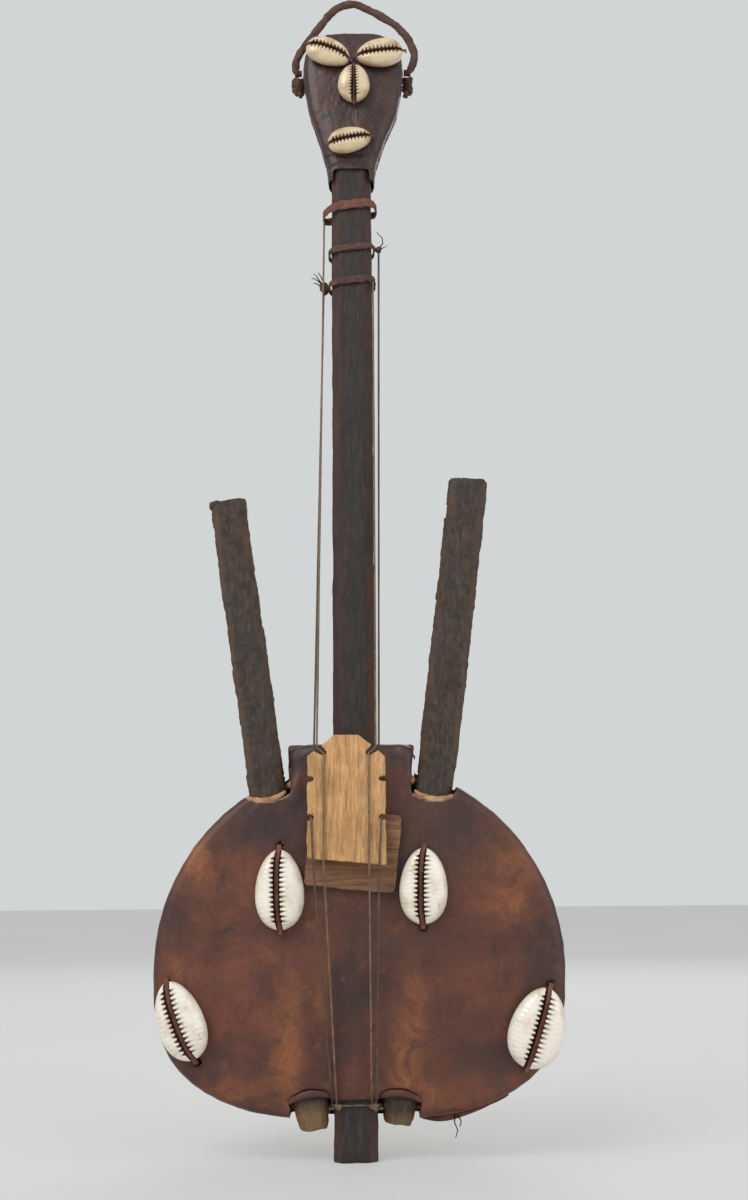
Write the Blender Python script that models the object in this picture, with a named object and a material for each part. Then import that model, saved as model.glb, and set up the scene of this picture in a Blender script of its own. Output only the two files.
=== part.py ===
"""A small kora: half calabash under a stretched hide, three sticks, a leather-covered head with a cowrie face,
four strings on tuning rings and a notched bridge. Metres, +Z along the neck, strings on the -Y side.
The origin is the centre of the tail post's lower end."""

import math

import bmesh
import bpy
from mathutils import Matrix, Vector

MM = 0.001

# Gap left between pieces that touch
TOUCH = 0.3 * MM

# Neck stick, an octagon from the tail post to the head
NECK_WIDTH = 17.2 * MM
NECK_DEPTH = 13.0 * MM
NECK_CHAMFER = 3.2 * MM
NECK_TOP = 404.0 * MM
NECK_HEWN = 0.35 * MM
NECK_HEWN_PITCH = 34.0 * MM
TENON_WIDTH = 8.0 * MM
TENON_DEPTH = 5.0 * MM
TENON_LENGTH = 22.0 * MM

# Body outline, seen from the front
BODY_X = 1.5 * MM
BODY_Z = 71.3 * MM
HIDE_RADIUS = 79.7 * MM
FOOT_REACH = 56.3 * MM
FOOT_SQUARENESS = 2.8
HIDE_THICKNESS = 1.6 * MM
HIDE_CROWN = 0.25 * MM
HIDE_FALL = 1.75 * MM
RIDGE_HALF_WIDTH = 8.5 * MM
RIM_ROUND = 3.5 * MM
SKIRT_DEPTH = 20.0 * MM
COLLAR_TOP = 157.8 * MM
COLLAR_LEFT = -26.4 * MM
COLLAR_RIGHT = 23.9 * MM

# Calabash bowl behind the hide
BOWL_DEPTH = 62.0 * MM
BOWL_WALL = 4.5 * MM
BOWL_FULLNESS = 2.3

# Handposts: where the axis of each one starts and ends, in x and z
POST_WIDTH = 14.6 * MM
POST_DEPTH = 12.0 * MM
POST_CHAMFER = 2.6 * MM
POST_HEWN = 0.5 * MM
POST_HEWN_PITCH = 19.0 * MM
POST_STUB_LENGTH = 14.0 * MM
POST_STUB_WIDTH = 10.4 * MM
POST_LEFT_FOOT = (-15.9 * MM, 11.2 * MM)
POST_LEFT_HEAD = (-51.6 * MM, 257.9 * MM)
POST_RIGHT_FOOT = (15.6 * MM, 13.2 * MM)
POST_RIGHT_HEAD = (47.6 * MM, 266.0 * MM)

# Slits in the hide that the sticks come out of
SLIT_TOP_Z = 137.5 * MM
SLIT_FOOT_Z = 24.5 * MM
SLIT_TAIL_Z = 22.6 * MM
SLOT_BESIDE_POST = 1.4 * MM
RIM_PASSAGE = 9.0 * MM

# Head: a board between two leathers sewn edge to edge
HEAD_X = 1.0 * MM
HEAD_TOP = 466.6 * MM
HEAD_SWELLS_Z = 428.0 * MM
SLEEVE_BOTTOM = 396.2 * MM
SLEEVE_NOTCH_Z = 400.8 * MM
SLEEVE_NOTCH_HALF = 7.4 * MM
SLEEVE_EASE = 0.4 * MM
HEAD_LEATHER = 1.05 * MM
HEAD_SQUARENESS = 4.0
CORE_BOTTOM_GAP = 0.3 * MM

# Hanging loop and its knots
LOOP_WIDTH = 4.0 * MM
LOOP_THICKNESS = 2.8 * MM
LOOP_PIVOT_Z = 452.0 * MM
LOOP_PIVOT_Y = 4.5 * MM

# Tuning rings: thongs tied round the neck
RING_THICKNESS = 1.1 * MM
RING_SLOPE = 0.11
RING_EASE = 0.35 * MM

# Strings
STRING_DIAMETER = 0.9 * MM

# Bridge plate, tipped over against the strings, and the board under it
PLATE_WIDTH = 30.8 * MM
PLATE_HEIGHT = 49.4 * MM
PLATE_THICKNESS = 3.4 * MM
PLATE_X = -3.0 * MM
PLATE_FOOT_Z = 111.0 * MM
PLATE_LEAN = 5.0
PLATE_TOP_WIDTH = 9.6 * MM
NOTCH_OFFSET = 10.9 * MM
NOTCH_HEIGHT = 43.9 * MM
SHOULDER_HEIGHT = 41.0 * MM
SAW_CUT_WIDTH = 1.5 * MM
SAW_CUT_REACH = 3.6 * MM
SAW_CUT_SLOPE = 38.0
SIDE_NOTCH_DEPTH = 2.6 * MM
SIDE_NOTCH_WIDTH = 1.7 * MM
SIDE_NOTCH_UPPER = 32.0 * MM
SIDE_NOTCH_LOWER = 17.2 * MM
BASE_WIDTH = 35.6 * MM
BASE_HEIGHT = 30.5 * MM
BASE_THICKNESS = 2.8 * MM
BASE_X = -0.6 * MM
BASE_Z = 116.0 * MM
BASE_TURN = 6.0

# Tail binding
BINDING_DIAMETER = 1.0 * MM
BINDING_Z = 21.0 * MM
KNOT_TOP_Z = 22.3 * MM

# Cowries on the hide and on the head
COWRIE_LENGTH = 30.6 * MM
COWRIE_WIDTH = 19.4 * MM
COWRIE_HEIGHT = 7.6 * MM
FACE_HEIGHT = 5.4 * MM
COWRIE_TEETH = 11
FACE_TEETH = 7
TOOTH_REACH = 0.95 * MM
THONG_WIDTH = 2.2 * MM
THONG_THICKNESS = 1.1 * MM
FACE_SCALE = 0.62

STEM_BACK_Y = NECK_DEPTH / 2
NECK_FRONT_Y = -NECK_DEPTH / 2
HIDE_CREST_Y = NECK_FRONT_Y - TOUCH - HIDE_THICKNESS - HIDE_CROWN
HIDE_RIM_Y = HIDE_CREST_Y + HIDE_FALL
BOWL_RIM_Y = HIDE_RIM_Y + HIDE_THICKNESS + TOUCH
POST_FRONT_Y = HIDE_RIM_Y + HIDE_THICKNESS + TOUCH - 0.35 * MM
POST_Y = POST_FRONT_Y + POST_DEPTH / 2


def clear_scene():
    for thing in list(bpy.data.objects):
        bpy.data.objects.remove(thing, do_unlink=True)


def material(name, colour, roughness, metallic=0.0):
    made = bpy.data.materials.new(name)
    made.use_nodes = True
    shader = made.node_tree.nodes["Principled BSDF"]
    shader.inputs["Base Color"].default_value = (*colour, 1.0)
    shader.inputs["Roughness"].default_value = roughness
    shader.inputs["Metallic"].default_value = metallic
    made.diffuse_color = (*colour, 1.0)
    return made


def place(name, verts, faces, finish, smooth_angle=40.0):
    mesh = bpy.data.meshes.new(name)
    mesh.from_pydata([tuple(v) for v in verts], [], faces)
    build = bmesh.new()
    build.from_mesh(mesh)
    bmesh.ops.recalc_face_normals(build, faces=build.faces)
    build.to_mesh(mesh)
    build.free()
    if finish is not None:
        mesh.materials.append(finish)
    mesh.shade_smooth()
    mesh.set_sharp_from_angle(angle=math.radians(smooth_angle))
    thing = bpy.data.objects.new(name, mesh)
    bpy.context.scene.collection.objects.link(thing)
    return thing


def loft(name, rings, finish, closed=False, smooth_angle=40.0):
    """Skins rings of equal length; open lofts get flat ends, closed ones join last to first."""
    count = len(rings[0])
    verts = [point for ring in rings for point in ring]
    faces = []
    steps = len(rings) if closed else len(rings) - 1
    for i in range(steps):
        a, b = i * count, ((i + 1) % len(rings)) * count
        for j in range(count):
            k = (j + 1) % count
            faces.append((a + j, a + k, b + k, b + j))
    if not closed:
        faces.append(tuple(range(count)))
        faces.append(tuple(range(len(verts) - count, len(verts)))[::-1])
    return place(name, verts, faces, finish, smooth_angle)


def prism(name, outline, y_low, y_high, finish=None, place_at=Matrix.Identity(4)):
    """An outline in x and z, pushed through along y."""
    low = [place_at @ Vector((x, y_low, z)) for x, z in outline]
    high = [place_at @ Vector((x, y_high, z)) for x, z in outline]
    return loft(name, [low, high], finish, smooth_angle=30.0)


def cutter(thing):
    thing.hide_render = True
    thing.display_type = "WIRE"
    return thing


def boolean(thing, other, operation="DIFFERENCE"):
    step = thing.modifiers.new(f"{operation.lower()} {other.name}", "BOOLEAN")
    step.operation = operation
    step.object = other
    step.solver = "EXACT"


def octagon(width, depth, chamfer):
    """The corners of a chamfered rectangle, in x and y."""
    a, b, c = width / 2, depth / 2, chamfer
    return [
        (a, -b + c), (a, b - c), (a - c, b), (-a + c, b),
        (-a, b - c), (-a, -b + c), (-a + c, -b), (a - c, -b),
    ]


def smooth_path(points, steps):
    """Points read from one smooth curve through the given points."""
    made = []
    last = len(points) - 1
    for i in range(last):
        before = points[max(i - 1, 0)]
        start, end = points[i], points[i + 1]
        after = points[min(i + 2, last)]
        for step in range(steps):
            t = step / steps
            made.append(
                0.5 * (2 * start + (end - before) * t
                       + (2 * before - 5 * start + 4 * end - after) * t * t
                       + (3 * start - before - 3 * end + after) * t ** 3)
            )
    made.append(points[-1].copy())
    return made


def sweep(name, path, width, thickness, sides, finish, across=Vector((0, 1, 0)), taper=None):
    """A strap or cord along a path; its thickness lies along `across`, its width in the plane square to that."""
    rings = []
    for i, point in enumerate(path):
        ahead = path[min(i + 1, len(path) - 1)] - path[max(i - 1, 0)]
        tangent = ahead.normalized()
        side = tangent.cross(across).normalized()
        rise = side.cross(tangent).normalized()
        size = taper(i / (len(path) - 1)) if taper else 1.0
        ring = []
        for j in range(sides):
            angle = 2 * math.pi * (j + 0.5) / sides
            ring.append(
                point + side * (width / 2 * size * math.cos(angle))
                + rise * (thickness / 2 * size * math.sin(angle))
            )
        rings.append(ring)
    return loft(name, rings, finish)


def post_axis(foot, head):
    """Where the axis starts, its direction and its length."""
    start = Vector((foot[0], POST_Y, foot[1]))
    run = Vector((head[0], POST_Y, head[1])) - start
    return start, run.normalized(), run.length


def post_x(foot, head, z):
    return foot[0] + (head[0] - foot[0]) * (z - foot[1]) / (head[1] - foot[1])


def make_neck(finish):
    """Octagonal stick, a little uneven below the rings, with a tenon for the head board."""
    plain_from = 335 * MM
    rings = []
    heights = [i * NECK_HEWN_PITCH / 2 for i in range(int(plain_from / NECK_HEWN_PITCH * 2) + 1)]
    for z in heights:
        hewn = NECK_HEWN * math.sin(2 * math.pi * z / NECK_HEWN_PITCH) * (z > 0) * (z < plain_from - NECK_HEWN_PITCH)
        section = octagon(NECK_WIDTH - abs(hewn), NECK_DEPTH, NECK_CHAMFER + hewn)
        rings.append([Vector((x, y, z)) for x, y in section])
    for z, width, depth, chamfer in (
        (NECK_TOP, NECK_WIDTH, NECK_DEPTH, NECK_CHAMFER),
        (NECK_TOP, TENON_WIDTH, TENON_DEPTH, TENON_DEPTH / 6),
        (NECK_TOP + TENON_LENGTH, TENON_WIDTH, TENON_DEPTH, TENON_DEPTH / 6),
    ):
        rings.append([Vector((x, y, z)) for x, y in octagon(width, depth, chamfer)])
    return loft("neck_stick", rings, finish, smooth_angle=20.0)


def make_post(name, foot, head, finish):
    """A hewn stick whose stub narrows below the hide."""
    start, along, length = post_axis(foot, head)
    side = Vector((along.z, 0, -along.x))
    rings = []
    count = round((length - POST_STUB_LENGTH) / (POST_HEWN_PITCH / 2))
    marks = [0.0, POST_STUB_LENGTH / 2, POST_STUB_LENGTH]
    marks += [POST_STUB_LENGTH + (length - POST_STUB_LENGTH) * (i + 1) / count for i in range(count)]
    for mark in marks:
        inside = min(mark / POST_STUB_LENGTH, 1.0)
        width = POST_STUB_WIDTH + (POST_WIDTH - POST_STUB_WIDTH) * math.sin(inside * math.pi / 2)
        above_slit = start.z + mark * along.z > SLIT_TOP_Z + POST_HEWN_PITCH
        hewn = POST_HEWN * math.sin(math.pi * mark / POST_HEWN_PITCH) * above_slit
        for_depth = POST_DEPTH - (1 - inside) * POST_CHAMFER / 2
        section = octagon(width - abs(hewn), for_depth, POST_CHAMFER + hewn)
        rings.append([start + along * mark + side * x + Vector((0, y, 0)) for x, y in section])
    return loft(name, rings, finish, smooth_angle=20.0)


def edge_below(x, radius):
    """How far the body's outline lies under its centre at x: half a squared-off ellipse."""
    reach = FOOT_REACH * radius / HIDE_RADIUS
    across = min(abs(x) / radius, 1.0) ** FOOT_SQUARENESS
    return reach * (1 - across) ** (1 / FOOT_SQUARENESS)


def body_outline(radius, count):
    points = []
    for i in range(count):
        angle = 2 * math.pi * i / count
        x, z = radius * math.sin(angle), radius * math.cos(angle)
        points.append((x, z if z >= 0 else -edge_below(x, radius)))
    return points


def bowl_share(depth):
    """The bowl's radius at a depth behind its rim, as a share of its radius at the rim."""
    return (1 - min(depth / BOWL_DEPTH, 1.0) ** BOWL_FULLNESS) ** (1 / BOWL_FULLNESS)


def make_bowl(finish):
    """Half a calabash: outer and inner skins joined at the rim, cut by the three sticks."""
    sides = 52
    rim = HIDE_RADIUS - HIDE_THICKNESS - TOUCH
    outline = body_outline(rim, sides)
    depths = [0.1, 0.22, 0.38, 0.56, 0.74, 0.88, 0.965]
    rings = []
    for angle in (0, math.pi / 4, math.pi / 2):
        size = 1 - RIM_ROUND * (1 - math.sin(angle)) / rim
        depth = (RIM_ROUND - HIDE_THICKNESS) * (1 - math.cos(angle))
        rings.append([(x * size, depth, z * size) for x, z in outline])
    for share in depths:
        size = bowl_share(share * BOWL_DEPTH)
        rings.append([(x * size, share * BOWL_DEPTH, z * size) for x, z in outline])
    inner_depth = BOWL_DEPTH - BOWL_WALL
    inner = (rim - BOWL_WALL) / rim
    hollow = []
    for share in [0.0, *depths[1:-1]]:
        size = bowl_share(share * BOWL_DEPTH) * inner
        hollow.append([(x * size, share * inner_depth, z * size) for x, z in outline])
    verts, faces = [], []

    def skin(layers, tip):
        first = len(verts)
        for layer in layers:
            verts.extend(Vector((BODY_X + x, BOWL_RIM_Y + y, BODY_Z + z)) for x, y, z in layer)
        for i in range(len(layers) - 1):
            a, b = first + i * sides, first + (i + 1) * sides
            for j in range(sides):
                k = (j + 1) % sides
                faces.append((a + j, a + k, b + k, b + j))
        end = first + (len(layers) - 1) * sides
        verts.append(Vector((BODY_X, BOWL_RIM_Y + tip, BODY_Z)))
        for j in range(sides):
            faces.append((end + j, end + (j + 1) % sides, len(verts) - 1))
        return first

    outer_first = skin(rings, BOWL_DEPTH)
    inner_first = skin(hollow, inner_depth)
    for j in range(sides):
        k = (j + 1) % sides
        faces.append((outer_first + j, outer_first + k, inner_first + k, inner_first + j))
    bowl = place("gourd_bowl", verts, faces, finish)
    front = BOWL_RIM_Y - RIM_ROUND
    neck_half = NECK_WIDTH / 2 + TOUCH + BINDING_DIAMETER
    back = STEM_BACK_Y + TOUCH
    low, high = -5 * MM, NECK_TOP / 2
    notch = [(-neck_half, low), (neck_half, low), (neck_half, high), (-neck_half, high)]
    boolean(bowl, cutter(prism("cut bowl for neck", notch, front, back)))
    for side, foot, head in (("left", POST_LEFT_FOOT, POST_LEFT_HEAD), ("right", POST_RIGHT_FOOT, POST_RIGHT_HEAD)):
        start, along, length = post_axis(foot, head)
        half = POST_WIDTH / 2 + TOUCH
        turn = Matrix.Translation((start.x, 0, start.z)) @ Matrix.Rotation(math.atan2(along.x, along.z), 4, "Y")
        channel = [(-half, -10 * MM), (half, -10 * MM), (half, length), (-half, length)]
        back = POST_Y + POST_DEPTH / 2 + TOUCH
        boolean(bowl, cutter(prism(f"cut bowl for {side} post", channel, front, back, place_at=turn)))
    return bowl


def hide_front_y(x):
    """The stretched hide: highest over the neck, falling to the rim on both sides."""
    from_neck = abs(x)
    tent = 0.45 * max(1 - from_neck / HIDE_RADIUS, 0.0)
    ridge = 0.55 / (1 + (from_neck / RIDGE_HALF_WIDTH) ** 6)
    return HIDE_RIM_Y + (HIDE_CREST_Y - HIDE_RIM_Y) * (tent + ridge)


def hide_columns():
    """Where the hide's lengthwise lines run: even round the rim, closer over the neck and at the collar."""
    step = 6.0
    even = [HIDE_RADIUS * math.sin(math.radians(a * step)) for a in range(-15, 16)]
    close = [BODY_X * -1 + x * MM for x in (-14, -10.5, -8, -5.5, 0, 5.5, 8, 10.5, 14)]
    edge = 0.3 * MM
    close += [COLLAR_LEFT - BODY_X - edge, COLLAR_LEFT - BODY_X, COLLAR_RIGHT - BODY_X, COLLAR_RIGHT - BODY_X + edge]
    kept = [x for x in even if all(abs(x - c) > 2.5 * MM for c in close)]
    return sorted(kept + close)


def make_hide(finish):
    """Front sheet, rounded rim and skirt in one skin, with slits for the sticks and the cowries' thongs."""
    columns = hide_columns()
    rows = 3
    last = len(columns) - 1

    def top_of(x, radius):
        if COLLAR_LEFT - BODY_X <= x <= COLLAR_RIGHT - BODY_X:
            return COLLAR_TOP - BODY_Z
        return math.sqrt(max(radius * radius - x * x, 0.0))

    edge = [(columns[0], 0.0)]
    edge += [(x, top_of(x, HIDE_RADIUS)) for x in columns[1:-1]]
    edge += [(columns[-1], 0.0)]
    edge += [(x, -edge_below(x, HIDE_RADIUS)) for x in reversed(columns[1:-1])]
    front_share = (HIDE_RADIUS - RIM_ROUND) / HIDE_RADIUS
    verts, faces = [], []

    def skin(inward):
        """One side of the hide; inward is how far it lies behind and inside the outer one."""
        shrink = 1 - inward / HIDE_RADIUS
        index = {}
        for i, x in enumerate(columns):
            x_in = x * front_share * shrink
            high = top_of(x, HIDE_RADIUS) * front_share * shrink
            low = -edge_below(x, HIDE_RADIUS) * front_share * shrink
            ends = i in (0, last)
            for j in range(rows + 1):
                if ends and j:
                    index[i, j] = index[i, 0]
                    continue
                z = 0.0 if ends else low + (high - low) * j / rows
                index[i, j] = len(verts)
                verts.append(Vector((BODY_X + x_in, hide_front_y(BODY_X + x_in) + inward, BODY_Z + z)))
        for i in range(last):
            for j in range(rows):
                corners = (index[i, j], index[i + 1, j], index[i + 1, j + 1], index[i, j + 1])
                corners = tuple(dict.fromkeys(corners))
                if len(corners) > 2:
                    faces.append(corners)
        loop = [index[0, 0]] + [index[i, rows] for i in range(1, last)]
        loop += [index[last, 0]] + [index[i, 0] for i in range(last - 1, 0, -1)]
        turn_steps = 3
        for step in range(1, turn_steps + 3):
            new = []
            for x, z in edge:
                lip_y = hide_front_y(BODY_X + x * front_share) + inward
                if step <= turn_steps:
                    angle = math.pi / 2 * step / turn_steps
                    size = front_share + (1 - front_share) * math.sin(angle)
                    y = lip_y + (RIM_ROUND - inward) * (1 - math.cos(angle))
                else:
                    depth = RIM_ROUND + (SKIRT_DEPTH - RIM_ROUND) * (step - turn_steps) / 2
                    size = bowl_share(depth - HIDE_THICKNESS - TOUCH)
                    y = HIDE_RIM_Y + depth
                new.append(len(verts))
                verts.append(Vector((BODY_X + x * size * shrink, y, BODY_Z + z * size * shrink)))
            old = loop if step == 1 else edge_start
            for j in range(len(new)):
                k = (j + 1) % len(new)
                faces.append((old[j], old[k], new[k], new[j]))
            edge_start = new
        return edge_start

    outer = skin(0.0)
    inner = skin(HIDE_THICKNESS)
    for j in range(len(outer)):
        k = (j + 1) % len(outer)
        faces.append((outer[j], outer[k], inner[k], inner[j]))
    return place("hide_cover", verts, faces, finish, smooth_angle=50.0)


def slit_cutter(name, foot, head, from_z, upward, extra_left, extra_right, front=HIDE_CREST_Y - 3 * MM):
    """A round-bottomed slit across a stick, open towards the rim."""
    start, along, _ = post_axis(foot, head)
    half = POST_WIDTH / 2 + TOUCH
    x = post_x(foot, head, from_z)
    turn = Matrix.Translation((x, 0, from_z)) @ Matrix.Rotation(math.atan2(along.x, along.z), 4, "Y")
    left, right = -half - extra_left, half + extra_right
    sign = 1 if upward else -1
    dip = 2.2 * MM
    reach = 40 * MM
    arc = []
    steps = 6
    for i in range(steps + 1):
        t = i / steps
        arc.append((left + (right - left) * t, -dip * math.sin(math.pi * t) * sign))
    outline = [*arc, (right, reach * sign), (left, reach * sign)]
    back = POST_Y + POST_DEPTH / 2 + TOUCH
    return cutter(prism(name, outline, front, back, place_at=turn))


def cut_hide(hide):
    left, right = (POST_LEFT_FOOT, POST_LEFT_HEAD), (POST_RIGHT_FOOT, POST_RIGHT_HEAD)
    boolean(hide, slit_cutter("slit left top", *left, SLIT_TOP_Z, True, 0.0, SLOT_BESIDE_POST))
    boolean(hide, slit_cutter("slit right top", *right, SLIT_TOP_Z, True, SLOT_BESIDE_POST, 0.0))
    for side, post in (("left", left), ("right", right)):
        behind = slit_cutter(f"rim {side}", *post, SLIT_TOP_Z - RIM_PASSAGE, True, TOUCH, TOUCH, POST_FRONT_Y - TOUCH)
        boolean(hide, behind)
    boolean(hide, slit_cutter("slit left foot", *left, SLIT_FOOT_Z, False, 0.0, 0.0))
    boolean(hide, slit_cutter("slit right foot", *right, SLIT_FOOT_Z, False, 0.0, 0.0))
    half = NECK_WIDTH / 2 + TOUCH + BINDING_DIAMETER + TOUCH
    tail = [(-half, -5 * MM), (half, -5 * MM), (half, SLIT_TAIL_Z), (-half, SLIT_TAIL_Z)]
    boolean(hide, cutter(prism("slit tail", tail, HIDE_CREST_Y - 3 * MM, STEM_BACK_Y + TOUCH)))
    rings = []
    for z in (COLLAR_TOP - 25 * MM, COLLAR_TOP + 10 * MM):
        section = octagon(NECK_WIDTH + 2 * TOUCH, NECK_DEPTH + 2 * TOUCH, NECK_CHAMFER)
        rings.append([Vector((x, y, z)) for x, y in section])
    boolean(hide, cutter(loft("cut collar for neck", rings, None)))


def head_size(z):
    """Half the head's width and depth at a height: sleeve, swelling cheeks, rounded top."""
    sleeve = (NECK_WIDTH / 2 + SLEEVE_EASE + HEAD_LEATHER, NECK_DEPTH / 2 + SLEEVE_EASE + HEAD_LEATHER)
    stations = [
        (SLEEVE_BOTTOM, *sleeve),
        (NECK_TOP, sleeve[0] + 0.7 * MM, sleeve[1]),
        (415.5 * MM, 14.2 * MM, sleeve[1]),
        (428.0 * MM, 19.0 * MM, sleeve[1]),
        (440.0 * MM, 21.3 * MM, sleeve[1]),
        (448.5 * MM, 21.9 * MM, sleeve[1]),
        (455.0 * MM, 21.4 * MM, sleeve[1] - 0.2 * MM),
        (HEAD_TOP - 6.6 * MM, 19.6 * MM, sleeve[1] - 0.6 * MM),
        (HEAD_TOP - 3.2 * MM, 16.4 * MM, sleeve[1] - 1.5 * MM),
        (HEAD_TOP - 1.2 * MM, 13.2 * MM, sleeve[1] - 2.6 * MM),
        (HEAD_TOP - 0.4 * MM, 11.4 * MM, sleeve[1] - 4.2 * MM),
        (HEAD_TOP, 9.8 * MM, sleeve[1] - 6.2 * MM),
    ]
    for (z0, w0, d0), (z1, w1, d1) in zip(stations, stations[1:]):
        if z <= z1 or z1 == HEAD_TOP:
            t = (z - z0) / (z1 - z0)
            return w0 + (w1 - w0) * t, d0 + (d1 - d0) * t
    return stations[-1][1:]


def head_x(z):
    """The head sits a little to the right of the neck that carries it."""
    return HEAD_X * min(max((z - NECK_TOP) / (HEAD_SWELLS_Z - NECK_TOP), 0.0), 1.0)


def head_stations():
    crown = [HEAD_TOP / MM - drop for drop in (6.6, 3.2, 1.2, 0.4, 0.0)]
    return [396.2, 400.8, 404, 409.5, 415.5, 421.5, 428, 434, 441, 448.5, 455, *crown]


def squared(angle, half_width, half_depth):
    c, s = math.cos(angle), math.sin(angle)
    power = 2 / HEAD_SQUARENESS
    return (
        math.copysign(abs(c) ** power, c) * half_width,
        math.copysign(abs(s) ** power, s) * half_depth,
    )


def make_head_leather(name, front, finish):
    """One of the two leathers: a half shell from seam to seam, all the way up the head."""
    sides = 10
    sign = -1 if front else 1
    rings = []
    for mark in head_stations():
        z = mark * MM
        width, depth = head_size(z)
        ring = []
        for inset, order in ((0.0, 1), (HEAD_LEATHER, -1)):
            arc = []
            for i in range(sides + 1):
                x, y = squared(math.pi * i / sides, width - inset, max(depth - inset, TOUCH * 2))
                arc.append(Vector((head_x(z) + x, sign * max(y, TOUCH / 2), z)))
            ring += arc[::order]
        rings.append(ring)
    shell = loft(name, rings, finish, smooth_angle=50.0)
    if front:
        half, z = SLEEVE_NOTCH_HALF, SLEEVE_NOTCH_Z
        low = SLEEVE_BOTTOM - 3 * MM
        notch = [(-half, low), (half, low), (half, z), (-half, z)]
        boolean(shell, cutter(prism("cut sleeve front", notch, NECK_FRONT_Y * 2, NECK_FRONT_Y / 2)))
    return shell


def make_head_core(finish):
    """The board inside, with a mortise for the neck's tenon."""
    rings = []
    sides = 16
    widest = 448.5 * MM
    inset = HEAD_LEATHER + TOUCH
    for mark in head_stations():
        z = mark * MM
        width, depth = head_size(z)
        if z < NECK_TOP or depth - inset < 1.5 * MM:
            continue
        height = z - inset * (z > widest)
        height = max(height, NECK_TOP + CORE_BOTTOM_GAP)
        ring = []
        for i in range(sides):
            x, y = squared(2 * math.pi * i / sides, width - inset, depth - inset)
            ring.append(Vector((head_x(z) + x, y, height)))
        rings.append(ring)
    core = loft("head_core", rings, finish)
    half = TENON_WIDTH / 2 + TOUCH
    high = NECK_TOP + TENON_LENGTH + TOUCH
    mortise = [(-half, NECK_TOP - 5 * MM), (half, NECK_TOP - 5 * MM), (half, high), (-half, high)]
    deep = TENON_DEPTH / 2 + TOUCH
    boolean(core, cutter(prism("cut mortise", mortise, -deep, deep)))
    return core


def make_loop(finish):
    """The hanging thong: up behind the head's left corner, over and down outside the right edge."""
    route = [
        (-24.0, LOOP_PIVOT_Y / MM, LOOP_PIVOT_Z / MM), (-24.2, 4.7, 456.4), (-22.4, 5.0, 461.8), (-19.2, 5.2, 467.0),
        (-15.8, 5.4, 472.0), (-12.2, 5.5, 477.0), (-8.0, 5.5, 482.2), (-3.2, 5.5, 485.4), (1.8, 5.5, 485.7),
        (7.4, 5.5, 483.4), (14.9, 5.3, 478.8), (21.0, 5.2, 474.1), (25.4, 5.0, 468.2), (27.8, 4.8, 461.4),
        (27.2, 4.6, 456.2), (25.4, LOOP_PIVOT_Y / MM, LOOP_PIVOT_Z / MM),
    ]
    path = smooth_path([Vector(p) * MM for p in route], 2)

    def rounded(t):
        return 0.62 + 0.38 * math.sin(min(t, 1 - t, 0.05) / 0.05 * math.pi / 2)

    return sweep("hanging_loop", path, LOOP_WIDTH, LOOP_THICKNESS, 8, finish, taper=rounded)


def lumps(name, parts, finish):
    """Blobs grown together: each part is a centre and three radii."""
    made = []
    for i, (centre, radii) in enumerate(parts):
        mesh = bpy.data.meshes.new(f"{name} {i}")
        build = bmesh.new()
        bmesh.ops.create_icosphere(build, subdivisions=2, radius=1.0)
        bmesh.ops.scale(build, verts=build.verts, vec=Vector(radii))
        bmesh.ops.translate(build, verts=build.verts, vec=Vector(centre))
        build.to_mesh(mesh)
        build.free()
        mesh.materials.append(finish)
        mesh.shade_smooth()
        thing = bpy.data.objects.new(name if not i else f"{name} lump {i}", mesh)
        bpy.context.scene.collection.objects.link(thing)
        made.append(thing)
    for other in made[1:]:
        boolean(made[0], cutter(other), "UNION")
    return made[0]


def make_loop_knots(finish):
    below = LOOP_PIVOT_Z - LOOP_WIDTH / 2 - TOUCH
    width = head_size(LOOP_PIVOT_Z - LOOP_WIDTH)[0]
    left, right = HEAD_X - width - TOUCH, HEAD_X + width + TOUCH
    y = LOOP_PIVOT_Y
    lumps("loop_knot_left", [
        ((left - 2.6 * MM, y, below - 2.6 * MM), (2.6 * MM, 3.0 * MM, 2.6 * MM)),
        ((left - 2.3 * MM, y - 0.6 * MM, below - 5.6 * MM), (2.0 * MM, 2.2 * MM, 3.6 * MM)),
    ], finish)
    lumps("loop_knot_right", [
        ((right + 1.9 * MM, y, below - 2.0 * MM), (1.9 * MM, 2.4 * MM, 2.0 * MM)),
        ((right + 1.2 * MM, y - 0.6 * MM, below - 5.4 * MM), (0.9 * MM, 1.6 * MM, 3.8 * MM)),
    ], finish)


RINGS = {
    # height at the neck's middle, band height, and how far the left and the right side stand off the neck
    "tuning_ring_1": (385.2 * MM, 5.0 * MM, 2.4 * MM, 0.9 * MM),
    "tuning_ring_2": (366.0 * MM, 3.6 * MM, 0.0, 0.0),
    "tuning_ring_3": (351.4 * MM, 4.0 * MM, 0.0, 0.3 * MM),
}


RING_KNOTS = [
    # ring, centre and radii
    ("tuning_ring_2", Vector((11.2, -3.2, 366.4)) * MM, Vector((1.9, 1.6, 1.4)) * MM),
    ("tuning_ring_3", Vector((-11.6, 0.4, 351.0)) * MM, Vector((2.3, 1.9, 2.6)) * MM),
]


def ring_path(name, angle):
    """Where a ring's middle line runs round the neck, with its tilt and its side bulges."""
    height, _, left, right = RINGS[name]
    a = NECK_WIDTH / 2 + RING_EASE + RING_THICKNESS / 2
    b = NECK_DEPTH / 2 + RING_EASE + RING_THICKNESS / 2
    c, s = math.cos(angle), math.sin(angle)
    x = math.copysign(abs(c) ** 0.5, c) * a
    y = math.copysign(abs(s) ** 0.5, s) * b
    bulge = (right if c > 0 else left) * abs(c) ** 3
    dip = 0.9 * bulge
    return Vector((x + math.copysign(bulge, c), y, height + RING_SLOPE * x - dip))


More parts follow.
